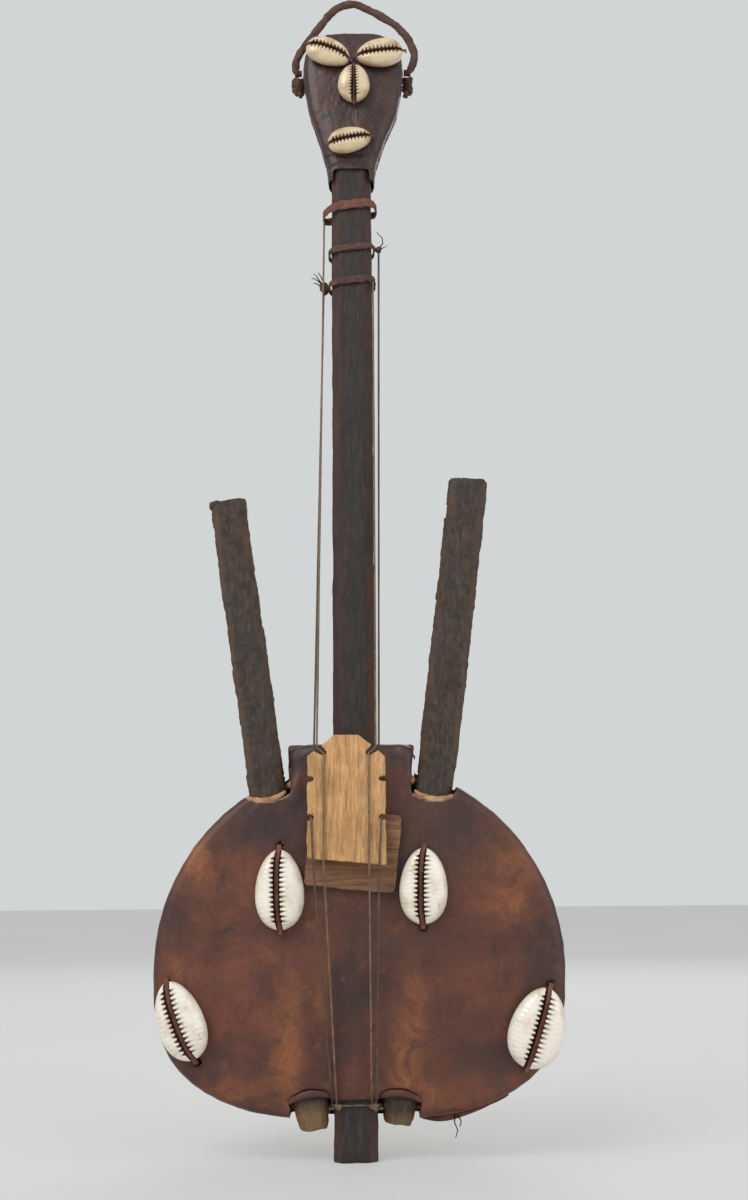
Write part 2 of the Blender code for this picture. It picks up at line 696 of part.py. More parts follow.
def make_ring(name, finish):
    steps = 28
    band = RINGS[name][1]
    rings = []
    for i in range(steps):
        angle = 2 * math.pi * i / steps
        centre = ring_path(name, angle)
        ahead = ring_path(name, angle + 0.02) - ring_path(name, angle - 0.02)
        outward = Vector((ahead.y, -ahead.x, 0)).normalized()
        high = band / 2 * (1 - 0.25 * abs(math.cos(angle)) ** 2)
        thick = RING_THICKNESS / 2
        rings.append([
            centre + outward * thick * u + Vector((0, 0, high * v))
            for u, v in ((-1, -0.6), (-1, 0.6), (-0.2, 1), (0.8, 0.7), (1, 0), (0.8, -0.7), (-0.2, -1))
        ])
    return loft(name, rings, finish, closed=True)


def make_ring_knots(finish):
    """Where a string is tied off beside its ring: thread at the left of ring 3, a hitch at the right of ring 2."""
    for ring, centre, radii in RING_KNOTS:
        knot = lumps(f"knot on {ring}", [
            (centre, radii),
            (centre + Vector((0.3 * MM, 0.4 * MM, -radii[2] * 0.7)), (radii[0] * 0.7, radii[1] * 0.7, radii[2] * 0.7)),
        ], finish)
        boolean(bpy.data.objects[ring], cutter(knot), "UNION")


def plate_place():
    """Turns plate coordinates into the object's: x across, y through, z up the plate."""
    lift = TOUCH + STRING_DIAMETER + TOUCH
    base_front = HIDE_CREST_Y - TOUCH - BASE_THICKNESS
    slant = math.radians(BASE_TURN)
    rest_z = BASE_Z + BASE_HEIGHT / 2 * math.cos(slant) + BASE_WIDTH / 2 * math.sin(slant)
    turn = Matrix.Rotation(math.radians(-PLATE_LEAN), 4, "X")
    at_rest = Vector((0, 0, rest_z - PLATE_FOOT_Z))
    shift = Vector((PLATE_X, base_front - lift, PLATE_FOOT_Z + at_rest.z)) - turn @ at_rest
    return Matrix.Translation(shift) @ turn


def along_cut(sign, reach):
    """A point on a saw cut's middle line, in the plate's x and z, this far in from its mouth."""
    slope = math.radians(SAW_CUT_SLOPE)
    return sign * (NOTCH_OFFSET - math.cos(slope) * reach), NOTCH_HEIGHT - math.sin(slope) * reach


def plate_outline():
    """Right half from the foot up, then the left half back down."""
    half = PLATE_WIDTH / 2
    cut = SAW_CUT_WIDTH / 2
    side = []
    for height in (SIDE_NOTCH_LOWER, SIDE_NOTCH_UPPER):
        side += [
            (half, height - SIDE_NOTCH_WIDTH / 2), (half - SIDE_NOTCH_DEPTH, height - SIDE_NOTCH_WIDTH / 2 + 0.1 * MM),
            (half - SIDE_NOTCH_DEPTH, height + SIDE_NOTCH_WIDTH / 2 - 0.1 * MM), (half, height + SIDE_NOTCH_WIDTH / 2),
        ]
    slope = math.radians(SAW_CUT_SLOPE)
    across = Vector((-math.sin(slope), math.cos(slope))) * cut
    mouth = Vector(along_cut(1, 0))
    end = Vector(along_cut(1, SAW_CUT_REACH))
    side += [
        (half, SHOULDER_HEIGHT), tuple(mouth - across + Vector((cut * 1.6, 0))), tuple(end - across),
        tuple(end + across), tuple(mouth + across + Vector((-cut * 0.4, cut))), (PLATE_TOP_WIDTH / 2, PLATE_HEIGHT),
    ]
    right = [(half, -1.4 * MM), *side]
    left = [(-x, z) for x, z in reversed([(half, 1.4 * MM), *side])]
    return right + left


def make_bridge(plate_finish, base_finish):
    prism("bridge_plate", plate_outline(), -PLATE_THICKNESS, 0.0, plate_finish, plate_place())
    half, high = BASE_WIDTH / 2, BASE_HEIGHT / 2
    nip = 1.2 * MM
    outline = [
        (-half, -high + nip), (-half + nip, -high), (half - nip, -high), (half, -high + nip), (half, high - nip), (half - nip, high),
        (-half + nip, high), (-half, high - nip),
    ]
    turn = Matrix.Translation((BASE_X, 0, BASE_Z)) @ Matrix.Rotation(math.radians(BASE_TURN), 4, "Y")
    back = HIDE_CREST_Y - TOUCH
    prism("bridge_base", outline, back - BASE_THICKNESS, back, base_finish, turn)


def make_strings(finish):
    """Inner strings cross the plate's front from the saw cuts; outer ones pass behind it to the side notches."""
    on_plate = plate_place()
    over = STRING_DIAMETER / 2 + TOUCH
    tail_z = KNOT_TOP_Z + TOUCH
    tail_y = HIDE_CREST_Y - over - 0.2 * MM
    half = PLATE_WIDTH / 2
    for side, sign, tops in (
        ("left", -1, {"inner": Vector((-11.6, -1.6, 379.7)) * MM, "outer": Vector((-11.9, 0.0, 347.0)) * MM}),
        ("right", 1, {"inner": Vector((8.9, -6.0, 350.1)) * MM, "outer": Vector((11.4, -3.4, 364.1)) * MM}),
    ):
        for which, start in tops.items():
            if which == "inner":
                outside = along_cut(sign, -0.8 * MM)
                bed = along_cut(sign, SAW_CUT_REACH - SAW_CUT_WIDTH / 2)
                points = [
                    start, on_plate @ Vector((outside[0], -PLATE_THICKNESS / 2, outside[1])),
                    on_plate @ Vector((bed[0], -PLATE_THICKNESS / 2, bed[1])),
                    on_plate @ Vector((bed[0], -PLATE_THICKNESS - over, bed[1])),
                    on_plate @ Vector((bed[0], -PLATE_THICKNESS - over, 0.0)),
                    Vector((sign * 6.6 * MM - 0.6 * MM, tail_y, tail_z)),
                ]
            else:
                notch_x = sign * (half - SIDE_NOTCH_DEPTH + over)
                points = [
                    start, on_plate @ Vector((sign * (NOTCH_OFFSET + 1.8 * MM), over, NOTCH_HEIGHT - 1 * MM)),
                    on_plate @ Vector((notch_x, over, SIDE_NOTCH_LOWER)),
                    on_plate @ Vector((notch_x, -PLATE_THICKNESS - over, SIDE_NOTCH_LOWER)),
                    on_plate @ Vector((notch_x - sign * 1.0 * MM, -PLATE_THICKNESS - over, -1.5 * MM)),
                    Vector((sign * 8.3 * MM - 0.6 * MM, tail_y, tail_z)),
                ]
            cord(f"string_{side}_{which}", points, STRING_DIAMETER, finish)


def cord(name, points, diameter, finish, sides=6):
    """A taut cord with a corner at each point, as a mesh tube."""
    rings = []
    for i, point in enumerate(points):
        before = points[max(i - 1, 0)]
        after = points[min(i + 1, len(points) - 1)]
        into = (point - before).normalized() if i else (after - point).normalized()
        out = (after - point).normalized() if i < len(points) - 1 else into
        tangent = (into + out).normalized()
        side = Vector((1, 0, 0))
        side = (side - tangent * side.dot(tangent)).normalized()
        rise = tangent.cross(side)
        rings.append([
            point + (side * math.cos(a) + rise * math.sin(a)) * diameter / 2
            for a in (2 * math.pi * j / sides for j in range(sides))
        ])
    return loft(name, rings, finish)


def make_binding(finish):
    """A cord across the tail post with the string knots at its two corners."""
    y = NECK_FRONT_Y - TOUCH - BINDING_DIAMETER / 2
    x = NECK_WIDTH / 2 + TOUCH + BINDING_DIAMETER / 2
    corner = NECK_CHAMFER
    z = BINDING_Z
    route = [
        Vector((-x, y + corner, z)), Vector((-x + corner, y, z)), Vector((x - corner, y, z)), Vector((x, y + corner, z)),
    ]
    rings = []
    for i, point in enumerate(route):
        ahead = route[min(i + 1, len(route) - 1)] - route[max(i - 1, 0)]
        tangent = ahead.normalized()
        side = tangent.cross(Vector((0, 0, 1)))
        rings.append([
            point + (side * math.cos(a) + Vector((0, 0, 1)) * math.sin(a)) * BINDING_DIAMETER / 2
            for a in (2 * math.pi * j / 6 for j in range(6))
        ])
    binding = loft("tail_binding", rings, finish)
    for side, knot_x, size in (("left", -7.0 * MM, 1.25 * MM), ("right", 6.9 * MM, 1.45 * MM)):
        knot = lumps(f"knot {side}", [
            ((knot_x, y - 0.9 * MM, KNOT_TOP_Z - size), (size * 1.5, size, size)),
            ((knot_x + 0.7 * MM, y - 0.8 * MM, KNOT_TOP_Z - size * 1.7), (size, size * 0.9, size * 0.8)),
        ], finish)
        boolean(binding, cutter(knot), "UNION")


COWRIES = {
    # centre x and z, length, width, height, tilt of the slit from upright in degrees
    "upper_left": (-28.9 * MM, 101.2 * MM, COWRIE_LENGTH, COWRIE_WIDTH, COWRIE_HEIGHT, -1.0),
    "upper_right": (26.5 * MM, 102.2 * MM, COWRIE_LENGTH * 0.95, COWRIE_WIDTH * 0.98, COWRIE_HEIGHT, 1.5),
    "lower_left": (-66.4 * MM, 52.6 * MM, COWRIE_LENGTH, COWRIE_WIDTH * 0.95, COWRIE_HEIGHT, -21.0),
    "lower_right": (69.6 * MM, 49.0 * MM, COWRIE_LENGTH, COWRIE_WIDTH * 1.02, COWRIE_HEIGHT, 18.0),
    "eye_left": (-9.6 * MM, 453.6 * MM, 19.6 * MM, 12.2 * MM, FACE_HEIGHT, 111.0),
    "eye_right": (12.6 * MM, 453.0 * MM, 20.0 * MM, 13.0 * MM, FACE_HEIGHT, -97.0),
    "nose": (1.4 * MM, 439.2 * MM, 16.6 * MM, 14.0 * MM, FACE_HEIGHT, 0.0),
    "mouth": (-0.6 * MM, 412.8 * MM, 18.4 * MM, 11.4 * MM, FACE_HEIGHT, 79.0),
}


def on_head(name):
    return name in ("eye_left", "eye_right", "nose", "mouth")


def cowrie_place(name):
    """Shell coordinates to the object's: x across, y up off the seat, z along the slit to the narrow end."""
    x, z, _, _, _, tilt = COWRIES[name]
    seat = -head_size(z)[1] if on_head(name) else hide_front_y(x)
    turn = Matrix.Rotation(math.radians(tilt), 4, "Y") @ Matrix.Diagonal((1, -1, 1, 1))
    return Matrix.Translation((x, seat - TOUCH, z)) @ turn


def cowrie_half_width(share, width):
    """Egg outline: share runs from -1 at the wide end to 1 at the narrow one."""
    return width / 2 * (1 - abs(share) ** 2.1) ** 0.5 * (1 - 0.13 * share - 0.03)


def cowrie_height(share, height):
    return height * (0.3 + 0.7 * (1 - abs(share) ** 2.6) ** 0.5)


def make_cowrie(name, finish):
    """A shell lying on its cut back: two rolled lips with teeth along the slit between them."""
    _, _, length, width, height, _ = COWRIES[name]
    small = on_head(name)
    teeth = FACE_TEETH if small else COWRIE_TEETH
    scale = FACE_SCALE if small else 1.0
    reach = TOOTH_REACH * scale
    channel = THONG_WIDTH * scale / 2 + TOUCH
    end = 0.97
    shares = [-end, -0.9]
    shares += [-0.8 + 1.6 * i / (2 * teeth) for i in range(2 * teeth + 1)]
    shares += [0.9, end]
    sit = cowrie_place(name)
    rings = []
    for i, share in enumerate(shares):
        half = cowrie_half_width(share, width)
        high = cowrie_height(share, height)
        floor = high * 0.52 - 0.3 * MM * scale
        in_teeth = 1 < i < len(shares) - 2
        open_by = reach if in_teeth and i % 2 else 0.1 * MM
        lip = channel + open_by
        wall = min(channel, half * 0.5)
        lip = min(lip, half * 0.62)
        profile = [
            (wall, floor), (lip, high - 0.55 * MM * scale), (lip + 0.8 * MM * scale * (half / width * 2), high),
            (half * 0.84, high * 0.86), (half, high * 0.5), (half * 0.8, 0.0),
        ]
        ring = [Vector((x, y, share * length / 2)) for x, y in profile]
        ring += [Vector((-x, y, share * length / 2)) for x, y in reversed(profile)]
        rings.append([sit @ point for point in ring])
    return loft(f"cowrie_{name}", rings, finish, smooth_angle=60.0)


def thong_path(name):
    """The thong's middle line in shell coordinates, from below one end to below the other."""
    _, _, length, _, height, _ = COWRIES[name]
    small = on_head(name)
    scale = FACE_SCALE if small else 1.0
    thick = THONG_THICKNESS * scale
    rest = TOUCH + thick / 2
    beyond = length / 2 + rest + 0.5 * MM
    down = -TOUCH - HIDE_THICKNESS + 0.3 * MM
    if small:
        down = -TOUCH + 0.35 * MM
    half = []
    for share in (0.0, 0.45, 0.72, 0.88, 0.97):
        floor = cowrie_height(share, height) * 0.52 - 0.3 * MM * scale
        half.append(Vector((0, floor + rest, share * length / 2)))
    half.append(Vector((0, half[-1].y * 0.93, beyond + 0.1 * MM)))
    half.append(Vector((0, down, beyond + 0.2 * MM)))
    return [Vector((0, p.y, -p.z)) for p in reversed(half[1:])] + half


def make_thong(name, finish):
    scale = FACE_SCALE if on_head(name) else 1.0
    sit = cowrie_place(name)
    path = thong_path(name)
    rings = []
    for i, point in enumerate(path):
        ahead = (path[min(i + 1, len(path) - 1)] - path[max(i - 1, 0)]).normalized()
        side = Vector((1, 0, 0)) * THONG_WIDTH / 2 * scale
        rise = ahead.cross(Vector((1, 0, 0))) * THONG_THICKNESS / 2 * scale
        ring = [point - side - rise, point + side - rise, point + side * 0.8 + rise, point - side * 0.8 + rise]
        rings.append([sit @ p for p in ring])
    return loft(f"thong_{name}", rings, finish)


def cut_thong_slits(hide):
    """Where each thong goes down through the hide at the two ends of its shell."""
    wide = THONG_WIDTH / 2 + TOUCH
    thick = THONG_THICKNESS / 2 + TOUCH
    for name in COWRIES:
        if on_head(name):
            continue
        sit = cowrie_place(name)
        for sign in (-1, 1):
            at = thong_path(name)[-1].z * sign
            corners = [(-wide, at - thick), (wide, at - thick), (wide, at + thick), (-wide, at + thick)]
            rings = [[sit @ Vector((x, y, z)) for x, z in corners] for y in (-6 * MM, 2 * MM)]
            boolean(hide, cutter(loft(f"slit {name} {sign}", rings, None)))


def main():
    clear_scene()
    dark_wood = material("dark wood", (0.045, 0.03, 0.022), 0.75)
    post_wood = material("hewn wood", (0.075, 0.048, 0.03), 0.85)
    pale_wood = material("pale wood", (0.5, 0.29, 0.11), 0.7)
    brown_wood = material("brown wood", (0.16, 0.08, 0.035), 0.75)
    gourd = material("calabash", (0.36, 0.2, 0.08), 0.55)
    hide_leather = material("body hide", (0.16, 0.05, 0.022), 0.5)
    head_leather = material("head leather", (0.055, 0.02, 0.014), 0.5)
    thong_leather = material("thong leather", (0.12, 0.045, 0.025), 0.7)
    shell = material("cowrie shell", (0.82, 0.74, 0.58), 0.25)
    gut = material("string", (0.09, 0.07, 0.05), 0.6)

    make_neck(dark_wood)
    make_post("handpost_left", POST_LEFT_FOOT, POST_LEFT_HEAD, post_wood)
    make_post("handpost_right", POST_RIGHT_FOOT, POST_RIGHT_HEAD, post_wood)
    make_bowl(gourd)
    hide = make_hide(hide_leather)
    cut_hide(hide)
    cut_thong_slits(hide)
    make_head_leather("head_front_leather", True, head_leather)
    make_head_leather("head_back_leather", False, head_leather)
    make_head_core(brown_wood)
    make_loop(thong_leather)
    make_loop_knots(thong_leather)
    for name in RINGS:
        make_ring(name, thong_leather)
    make_ring_knots(thong_leather)
    make_bridge(pale_wood, brown_wood)
    make_strings(gut)
    make_binding(gut)
    for name in COWRIES:
        make_cowrie(name, shell)
        make_thong(name, thong_leather)


main()
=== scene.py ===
"""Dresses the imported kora: worn leather, hewn wood, toothed cowries and thin strings.

It is seen as in the photograph. Tables and routes are in millimetres, in the part's own frame:
+X to the viewer's right, -Y to the viewer and +Z up the neck.
"""

import math

import bmesh
import bpy
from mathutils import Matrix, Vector, noise


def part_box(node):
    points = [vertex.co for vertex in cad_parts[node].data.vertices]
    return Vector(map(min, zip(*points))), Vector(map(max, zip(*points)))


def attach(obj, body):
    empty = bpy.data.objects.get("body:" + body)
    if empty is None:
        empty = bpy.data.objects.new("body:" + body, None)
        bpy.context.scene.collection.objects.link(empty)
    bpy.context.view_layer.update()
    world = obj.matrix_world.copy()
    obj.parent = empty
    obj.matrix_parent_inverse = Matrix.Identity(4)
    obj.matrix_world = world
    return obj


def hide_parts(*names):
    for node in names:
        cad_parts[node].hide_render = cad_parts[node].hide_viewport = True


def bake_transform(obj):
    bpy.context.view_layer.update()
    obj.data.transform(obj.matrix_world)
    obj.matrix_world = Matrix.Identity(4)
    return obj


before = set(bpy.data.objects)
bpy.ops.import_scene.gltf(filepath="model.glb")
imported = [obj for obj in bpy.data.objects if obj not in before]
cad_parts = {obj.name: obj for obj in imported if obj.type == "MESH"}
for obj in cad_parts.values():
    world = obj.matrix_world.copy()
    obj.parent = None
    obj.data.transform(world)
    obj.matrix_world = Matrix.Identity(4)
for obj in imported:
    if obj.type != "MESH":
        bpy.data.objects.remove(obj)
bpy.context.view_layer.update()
MM = 0.001
# Without this the vector noise differs from run to run
noise.seed_set(7)

# Camera, worked out from the photograph: angles in degrees, lens and sensor in millimetres
VIEW_TILT = 10.7
VIEW_ROLL = -0.45
CAMERA_AT = Vector((8.3, -598.3, 103.3)) * MM
LENS = 45.0
SENSOR = 36.0

# Studio, in metres: each lamp's place, power and size
LAMPS = {
    "key": ((-0.75, -1.0, 1.15), 13.0, 0.9),
    "fill": ((1.0, -0.8, 0.55), 4.5, 1.1),
    "back": ((0.2, 1.1, 0.9), 5.0, 0.9),
}
LAMPS_AIM = Vector((0, 0, 0.2))
FLOOR_SIZE = 12.0
FLOOR_GLOW = 0.5
WORLD_COLOUR = (0.93, 0.97, 1.0, 1.0)
WORLD_STRENGTH = 0.6

# Outline of the body; the loose edge of hide hangs just inside it
BODY_X = 1.5
BODY_Z = 71.3
BODY_RADIUS = 79.7
FOOT_HALF = 79.0
FOOT_REACH = 56.0
FOOT_SQUARENESS = 2.8

# Hand posts: x at the upper slit and at the foot, lean (x per z), how much wider they get above
# the slit, and the height below which the wood is freshly cut
POSTS = {
    "left": {"slit_x": -34.5, "foot_x": -17.6, "lean": -0.146, "wider": 0.03, "pale_below": 23.0},
    "right": {"slit_x": 31.2, "foot_x": 17.1, "lean": 0.127, "wider": 0.12, "pale_below": 19.0},
}
SLIT_Z = 137.5
# Lines of the pale lip under each post and of the cuff over its foot
SLIT_POINTS = 15
LIP_LINE = {"half": 7.6, "front": -6.2, "height": 137.7, "bow": -2.2}
LIP_HALF_WIDTH = 1.4
LIP_THICK = 1.5
CUFF_LINE = {"half": 8.3, "front": -5.9, "height": 23.9, "bow": 1.6}
CUFF_HALF_WIDTH = 1.7
CUFF_THICK = 1.3
# The loose edge of hide at the lower right
LOOSE_EDGE_X = (25.0, 58.0)
LOOSE_EDGE_POINTS = 25
LOOSE_EDGE_THICK = 0.8

# Places where sticks, strings and the collar pull the hide into folds: x, z
PULLS = (
    (-34.5, 137.0), (31.5, 137.0), (-17.5, 25.0), (17.0, 25.0), (0.0, 24.0), (-24.0, 150.0),
    (22.0, 150.0),
)
PULL_REACH = 38.0
FOLDS_AROUND = 9
FOLD_DEPTH = 0.34
FOLD_LENGTH = 13.0
DENT_DEPTH = 0.16
DENT_LENGTH = 30.0
# The collar: where it starts, and how far its ends turn back, droop, narrow and ripple
COLLAR_FROM = 139.0
COLLAR_TURN = 2.0
COLLAR_DROOP = 1.9
COLLAR_WAIST = 0.7
COLLAR_RIPPLE = 0.5

# Where the hide's cut edges show: in front of this y, and between these heights
CUT_FRONT = -5.2
CUT_HEIGHTS = (100, 138)
CUT_PALENESS = 0.75
# The dark band round the rim, as shares of the body's radius: where it starts, and its width
RIM_FROM = 0.955
RIM_WIDTH = 0.04
RIM_DARKNESS = 0.8

# Darker and tan patches laid on the hide: x, z, size across, size along, strength
DARK_PATCHES = (
    (-36, 126, 26, 11, 0.9), (38, 122, 30, 16, 0.9), (0, 150, 26, 12, 0.7), (-68, 88, 7, 15, 0.9),
    (4, 78, 15, 34, 0.6), (52, 34, 13, 10, 0.8), (72, 74, 9, 16, 0.7), (-64, 34, 12, 8, 0.5),
    (30, 74, 12, 22, 0.4), (-40, 84, 9, 14, 0.35),
)
TAN_PATCHES = (
    (-62, 112, 11, 12, 0.9), (-66, 72, 6, 10, 0.6), (-26, 42, 5, 20, 0.8), (22, 54, 5, 16, 0.9),
    (18, 34, 4, 12, 0.8), (58, 96, 8, 8, 0.7), (-14, 62, 4, 16, 0.5), (30, 26, 14, 6, 0.5),
    (-44, 26, 14, 6, 0.5), (62, 110, 7, 7, 0.6),
)

# Grooves in the head's leather: heights and depths
NOSE_GROOVE = (419, 433)
NOSE_GROOVE_DEPTH = 0.5
SLEEVE_GROOVES = (403.6, 407.4)
SLEEVE_GROOVE_DEPTH = 0.35

# Hanging loop: its two ties' x, the winding's radius and the loose tail below it
LOOP_TIES = {
    "left": (-23.0, 1.9, ((-22.4, 2.6, 442.0), (-21.8, 2.2, 439.4))),
    "right": (24.6, 1.5, ((24.2, 2.6, 442.0), (23.6, 2.2, 439.4))),
}
LOOP_Y = 4.5
LOOP_HINGE_Z = 452.0
WINDING_TOP = 449.2
WINDING_DROP = 6.4
WINDING_POINTS = 52
POINTS_A_TURN = 12
WINDING_RADIUS = 0.95
ROLL_RADIUS = 1.5

# Strings: middle lines from the ring down, and the body that pulls each one
STRING_RADIUS = 0.4
STRING_STEP = 12.0
STRING_CORNER = 0.7
STRING_END_STEPS = 8
STRINGS = {
    "string_left_inner": ("ring_1", [
        (-11.6, -1.6, 380.1), (-14.5, -13.0, 155.5), (-11.7, -13.2, 153.2), (-11.7, -15.6, 153.4),
        (-11.7, -19.3, 111.4), (-7.2, -9.6, 22.4),
    ]),
    "string_left_outer": ("ring_3", [
        (-11.9, 0.0, 347.6), (-15.7, -10.7, 153.8), (-16.6, -12.9, 128.2), (-16.6, -17.8, 128.6),
        (-15.6, -19.4, 110.0), (-8.9, -9.6, 22.4),
    ]),
    "string_right_inner": ("ring_3", [
        (8.9, -6.0, 350.6), (8.5, -13.0, 155.5), (5.7, -13.2, 153.2), (5.7, -15.6, 153.4),
        (5.7, -19.3, 111.4), (6.0, -9.6, 22.4),
    ]),
    "string_right_outer": ("ring_2", [
        (11.4, -3.4, 364.6), (9.7, -10.7, 153.8), (10.5, -12.9, 128.2), (10.5, -17.8, 128.6),
        (9.5, -19.4, 110.0), (7.7, -9.6, 22.4),
    ]),
}

# Loose thread ends at the rings' knots, at the tail and at the loose edge of hide
LOOSE_END_RADIUS = 0.3
LOOSE_ENDS = (
    ("ring_3", [(-12.6, -0.6, 352.2), (-13.9, -1.6, 353.6), (-15.0, -1.8, 355.4),
                (-16.0, -1.4, 356.4)]),
    ("ring_3", [(-12.8, -1.2, 352.0), (-14.2, -2.2, 352.8), (-15.6, -2.3, 353.9),
                (-17.0, -1.8, 354.2)]),
    ("ring_3", [(-13.0, -0.2, 351.4), (-14.8, -0.8, 352.2), (-16.2, -0.6, 352.6)]),
    ("ring_3", [(-12.0, -1.4, 352.6), (-12.9, -2.4, 354.6), (-14.2, -2.6, 356.6)]),
    ("ring_2", [(11.9, -4.2, 366.8), (13.2, -5.0, 368.4), (12.9, -5.2, 370.8),
                (11.4, -5.2, 372.4), (10.6, -5.0, 373.2)]),
    ("ring_2", [(12.2, -3.6, 366.4), (13.6, -4.2, 366.8), (15.0, -4.2, 367.6)]),
    ("kora", [(-8.2, -9.6, 21.6), (-9.6, -10.4, 20.2), (-10.2, -10.2, 18.6)]),
    ("kora", [(8.2, -9.8, 20.6), (9.8, -10.6, 19.8), (11.0, -10.2, 21.2), (11.4, -9.8, 22.8)]),
    ("kora", [(37.5, -2.4, 16.8), (37.2, -3.6, 14.2), (38.4, -3.8, 11.4), (37.6, -3.4, 8.6)]),
    ("kora", [(38.6, -2.4, 16.6), (39.8, -3.6, 14.6), (39.2, -3.8, 12.6)]),
)

# Cowries: centre x and z, length, width, height, and tilt from upright in degrees
COWRIES = {
    "upper_left": (-28.9, 101.2, 30.6, 19.4, 7.6, -1.0),
    "upper_right": (26.5, 102.2, 29.1, 19.0, 7.6, 1.5),
    "lower_left": (-66.4, 52.6, 30.6, 18.4, 7.6, -21.0),
    "lower_right": (69.0, 49.0, 30.6, 21.6, 7.6, 18.0),
    "eye_left": (-9.6, 453.6, 19.6, 12.2, 5.4, 111.0),
    "eye_right": (12.6, 453.0, 20.0, 13.0, 5.4, -97.0),
    "nose": (1.4, 439.2, 16.6, 14.0, 5.4, 0.0),
    "mouth": (-0.6, 412.8, 18.4, 11.4, 5.4, 79.0),
}
FACE = ("eye_left", "eye_right", "nose", "mouth")
# Thickness of a face shell's lips beside a body shell's
FACE_SCALE = 0.62
# How far each shell's slit lies off its middle
SLIT_ASIDE = {
    "upper_left": -1.1, "upper_right": -1.2, "lower_left": -1.7, "lower_right": 0.4,
    "eye_left": -1.2,
}
BODY_STATIONS = 120
FACE_STATIONS = 90
BODY_TEETH = 15
FACE_TEETH = 11
# Teeth left and right of the slit: reach over the lip, sharpness, and bite into the slit
TEETH = {-1: (0.75, 1.4, 0.75), 1: (1.5, 1.8, 0.55)}
TEETH_END = 0.9
TOOTH_DEPTH = 0.7
SLIT_HALF = 1.22
# Share of the half turn from foot to tip that is left off at each end, where sections vanish
COWRIE_END = 0.055
NOSE_OPENS = 0.5
# Across a lip, as shares of the way from the slit to the shell's edge
LIP_STEPS = (
    0.0, 0.03, 0.07, 0.12, 0.18, 0.25, 0.33, 0.42, 0.52, 0.62, 0.72, 0.81, 0.89, 0.95, 0.985, 1.0,
)
LIP_CREST = 0.22

# Pieces remade from solids: the solid, the voxel size and the rounds of smoothing
HEAD_VOXEL = 0.55
POST_VOXEL = 0.8
BOARD_VOXEL = 0.45
TRIM_VOXEL = 0.34
REMADE = {
    "hide": ("hide_cover", 1.0, 2),
    "head_skin_front": ("head_front_leather", HEAD_VOXEL, 2),
    "head_skin_back": ("head_back_leather", HEAD_VOXEL, 2),
    "loop_thong": ("hanging_loop", TRIM_VOXEL, 2),
    "loop_tie_left": ("loop_knot_left", TRIM_VOXEL, 1),
    "loop_tie_right": ("loop_knot_right", TRIM_VOXEL, 1),
    "ring_thong_1": ("tuning_ring_1", TRIM_VOXEL, 1),
    "ring_thong_2": ("tuning_ring_2", TRIM_VOXEL, 1),
    "ring_thong_3": ("tuning_ring_3", TRIM_VOXEL, 1),
    "tail_cord": ("tail_binding", TRIM_VOXEL, 1),
    "neck": ("neck_stick", 0.85, 1),
    "post_left": ("handpost_left", POST_VOXEL, 1),
    "post_right": ("handpost_right", POST_VOXEL, 1),
    "bridge": ("bridge_plate", BOARD_VOXEL, 1),
    "bridge_foot": ("bridge_base", BOARD_VOXEL, 1),
    "calabash": ("gourd_bowl", 1.8, 4),
}
# How each of them is worn: a seed, then layers of depth, feature size and stretch
EVEN = (1, 1, 1)
HEAD_WEAR = ((0.35, 9, (1, 1, 0.6)), (0.12, 2, EVEN))
KNOT_WEAR = ((0.4, 1.6, EVEN),)
RING_WEAR = ((0.35, 2, (1, 1, 2)),)
THONG_WEAR = ((0.14, 1.5, EVEN),)
POST_WEAR = ((0.3, 2.4, (0.6, 0.6, 1)),)
WEAR = {
    "hide": (1, ((0.22, 24, EVEN), (0.08, 3.5, EVEN))),
    "head_skin_front": (4, HEAD_WEAR),
    "head_skin_back": (5, HEAD_WEAR),
    "loop_thong": (7, ((0.35, 3, EVEN),)),
    "loop_tie_left": (9, KNOT_WEAR),
    "loop_tie_right": (10, KNOT_WEAR),
    "ring_thong_1": (13, RING_WEAR),
    "ring_thong_2": (14, RING_WEAR),
    "ring_thong_3": (15, RING_WEAR),
    "tail_cord": (31, ((0.3, 1, EVEN),)),
    "neck": (41, ((0.3, 7, (1, 1, 0.5)), (0.16, 1.6, (1, 1, 0.3)))),
    "post_left": (43, POST_WEAR),
    "post_right": (44, POST_WEAR),
    "bridge": (47, ((0.14, 2.5, (1, 1, 0.25)), (0.3, 6, (1, 0.3, 1)))),
    "bridge_foot": (48, ((0.2, 3, (0.3, 1, 1)), (0.3, 7, (1, 0.3, 1)))),
    "calabash": (50, ((0.3, 30, EVEN),)),
}
for number, shell_name in enumerate(COWRIES):
    REMADE[f"shell_thong_{shell_name}"] = (f"thong_{shell_name}", TRIM_VOXEL * 0.9, 1)
    WEAR[f"shell_thong_{shell_name}"] = (20 + number, THONG_WEAR)
# The middle of the noise that wears a skin, so that more is taken off than put on
WEAR_LEVEL = 0.55
# Blade cuts on the hand posts
CUT_DEPTH = 0.5
CUT_SIZE = 9.0

# Leather and thread colours as seen on screen: dark, light
THONGS = {
    "thong_leather": ((74, 42, 33), (124, 74, 56)),
    "dark_thong": ((48, 31, 27), (98, 60, 46)),
    "raw_hide": ((138, 98, 66), (196, 158, 116)),
}
THREADS = {
    "thread": ((74, 58, 44), (124, 100, 74)),
    "tan_string": ((84, 66, 50), (132, 106, 78)),
    "dark_string": ((58, 46, 38), (96, 76, 60)),
    "black_thread": ((26, 23, 22), (52, 46, 42)),
}
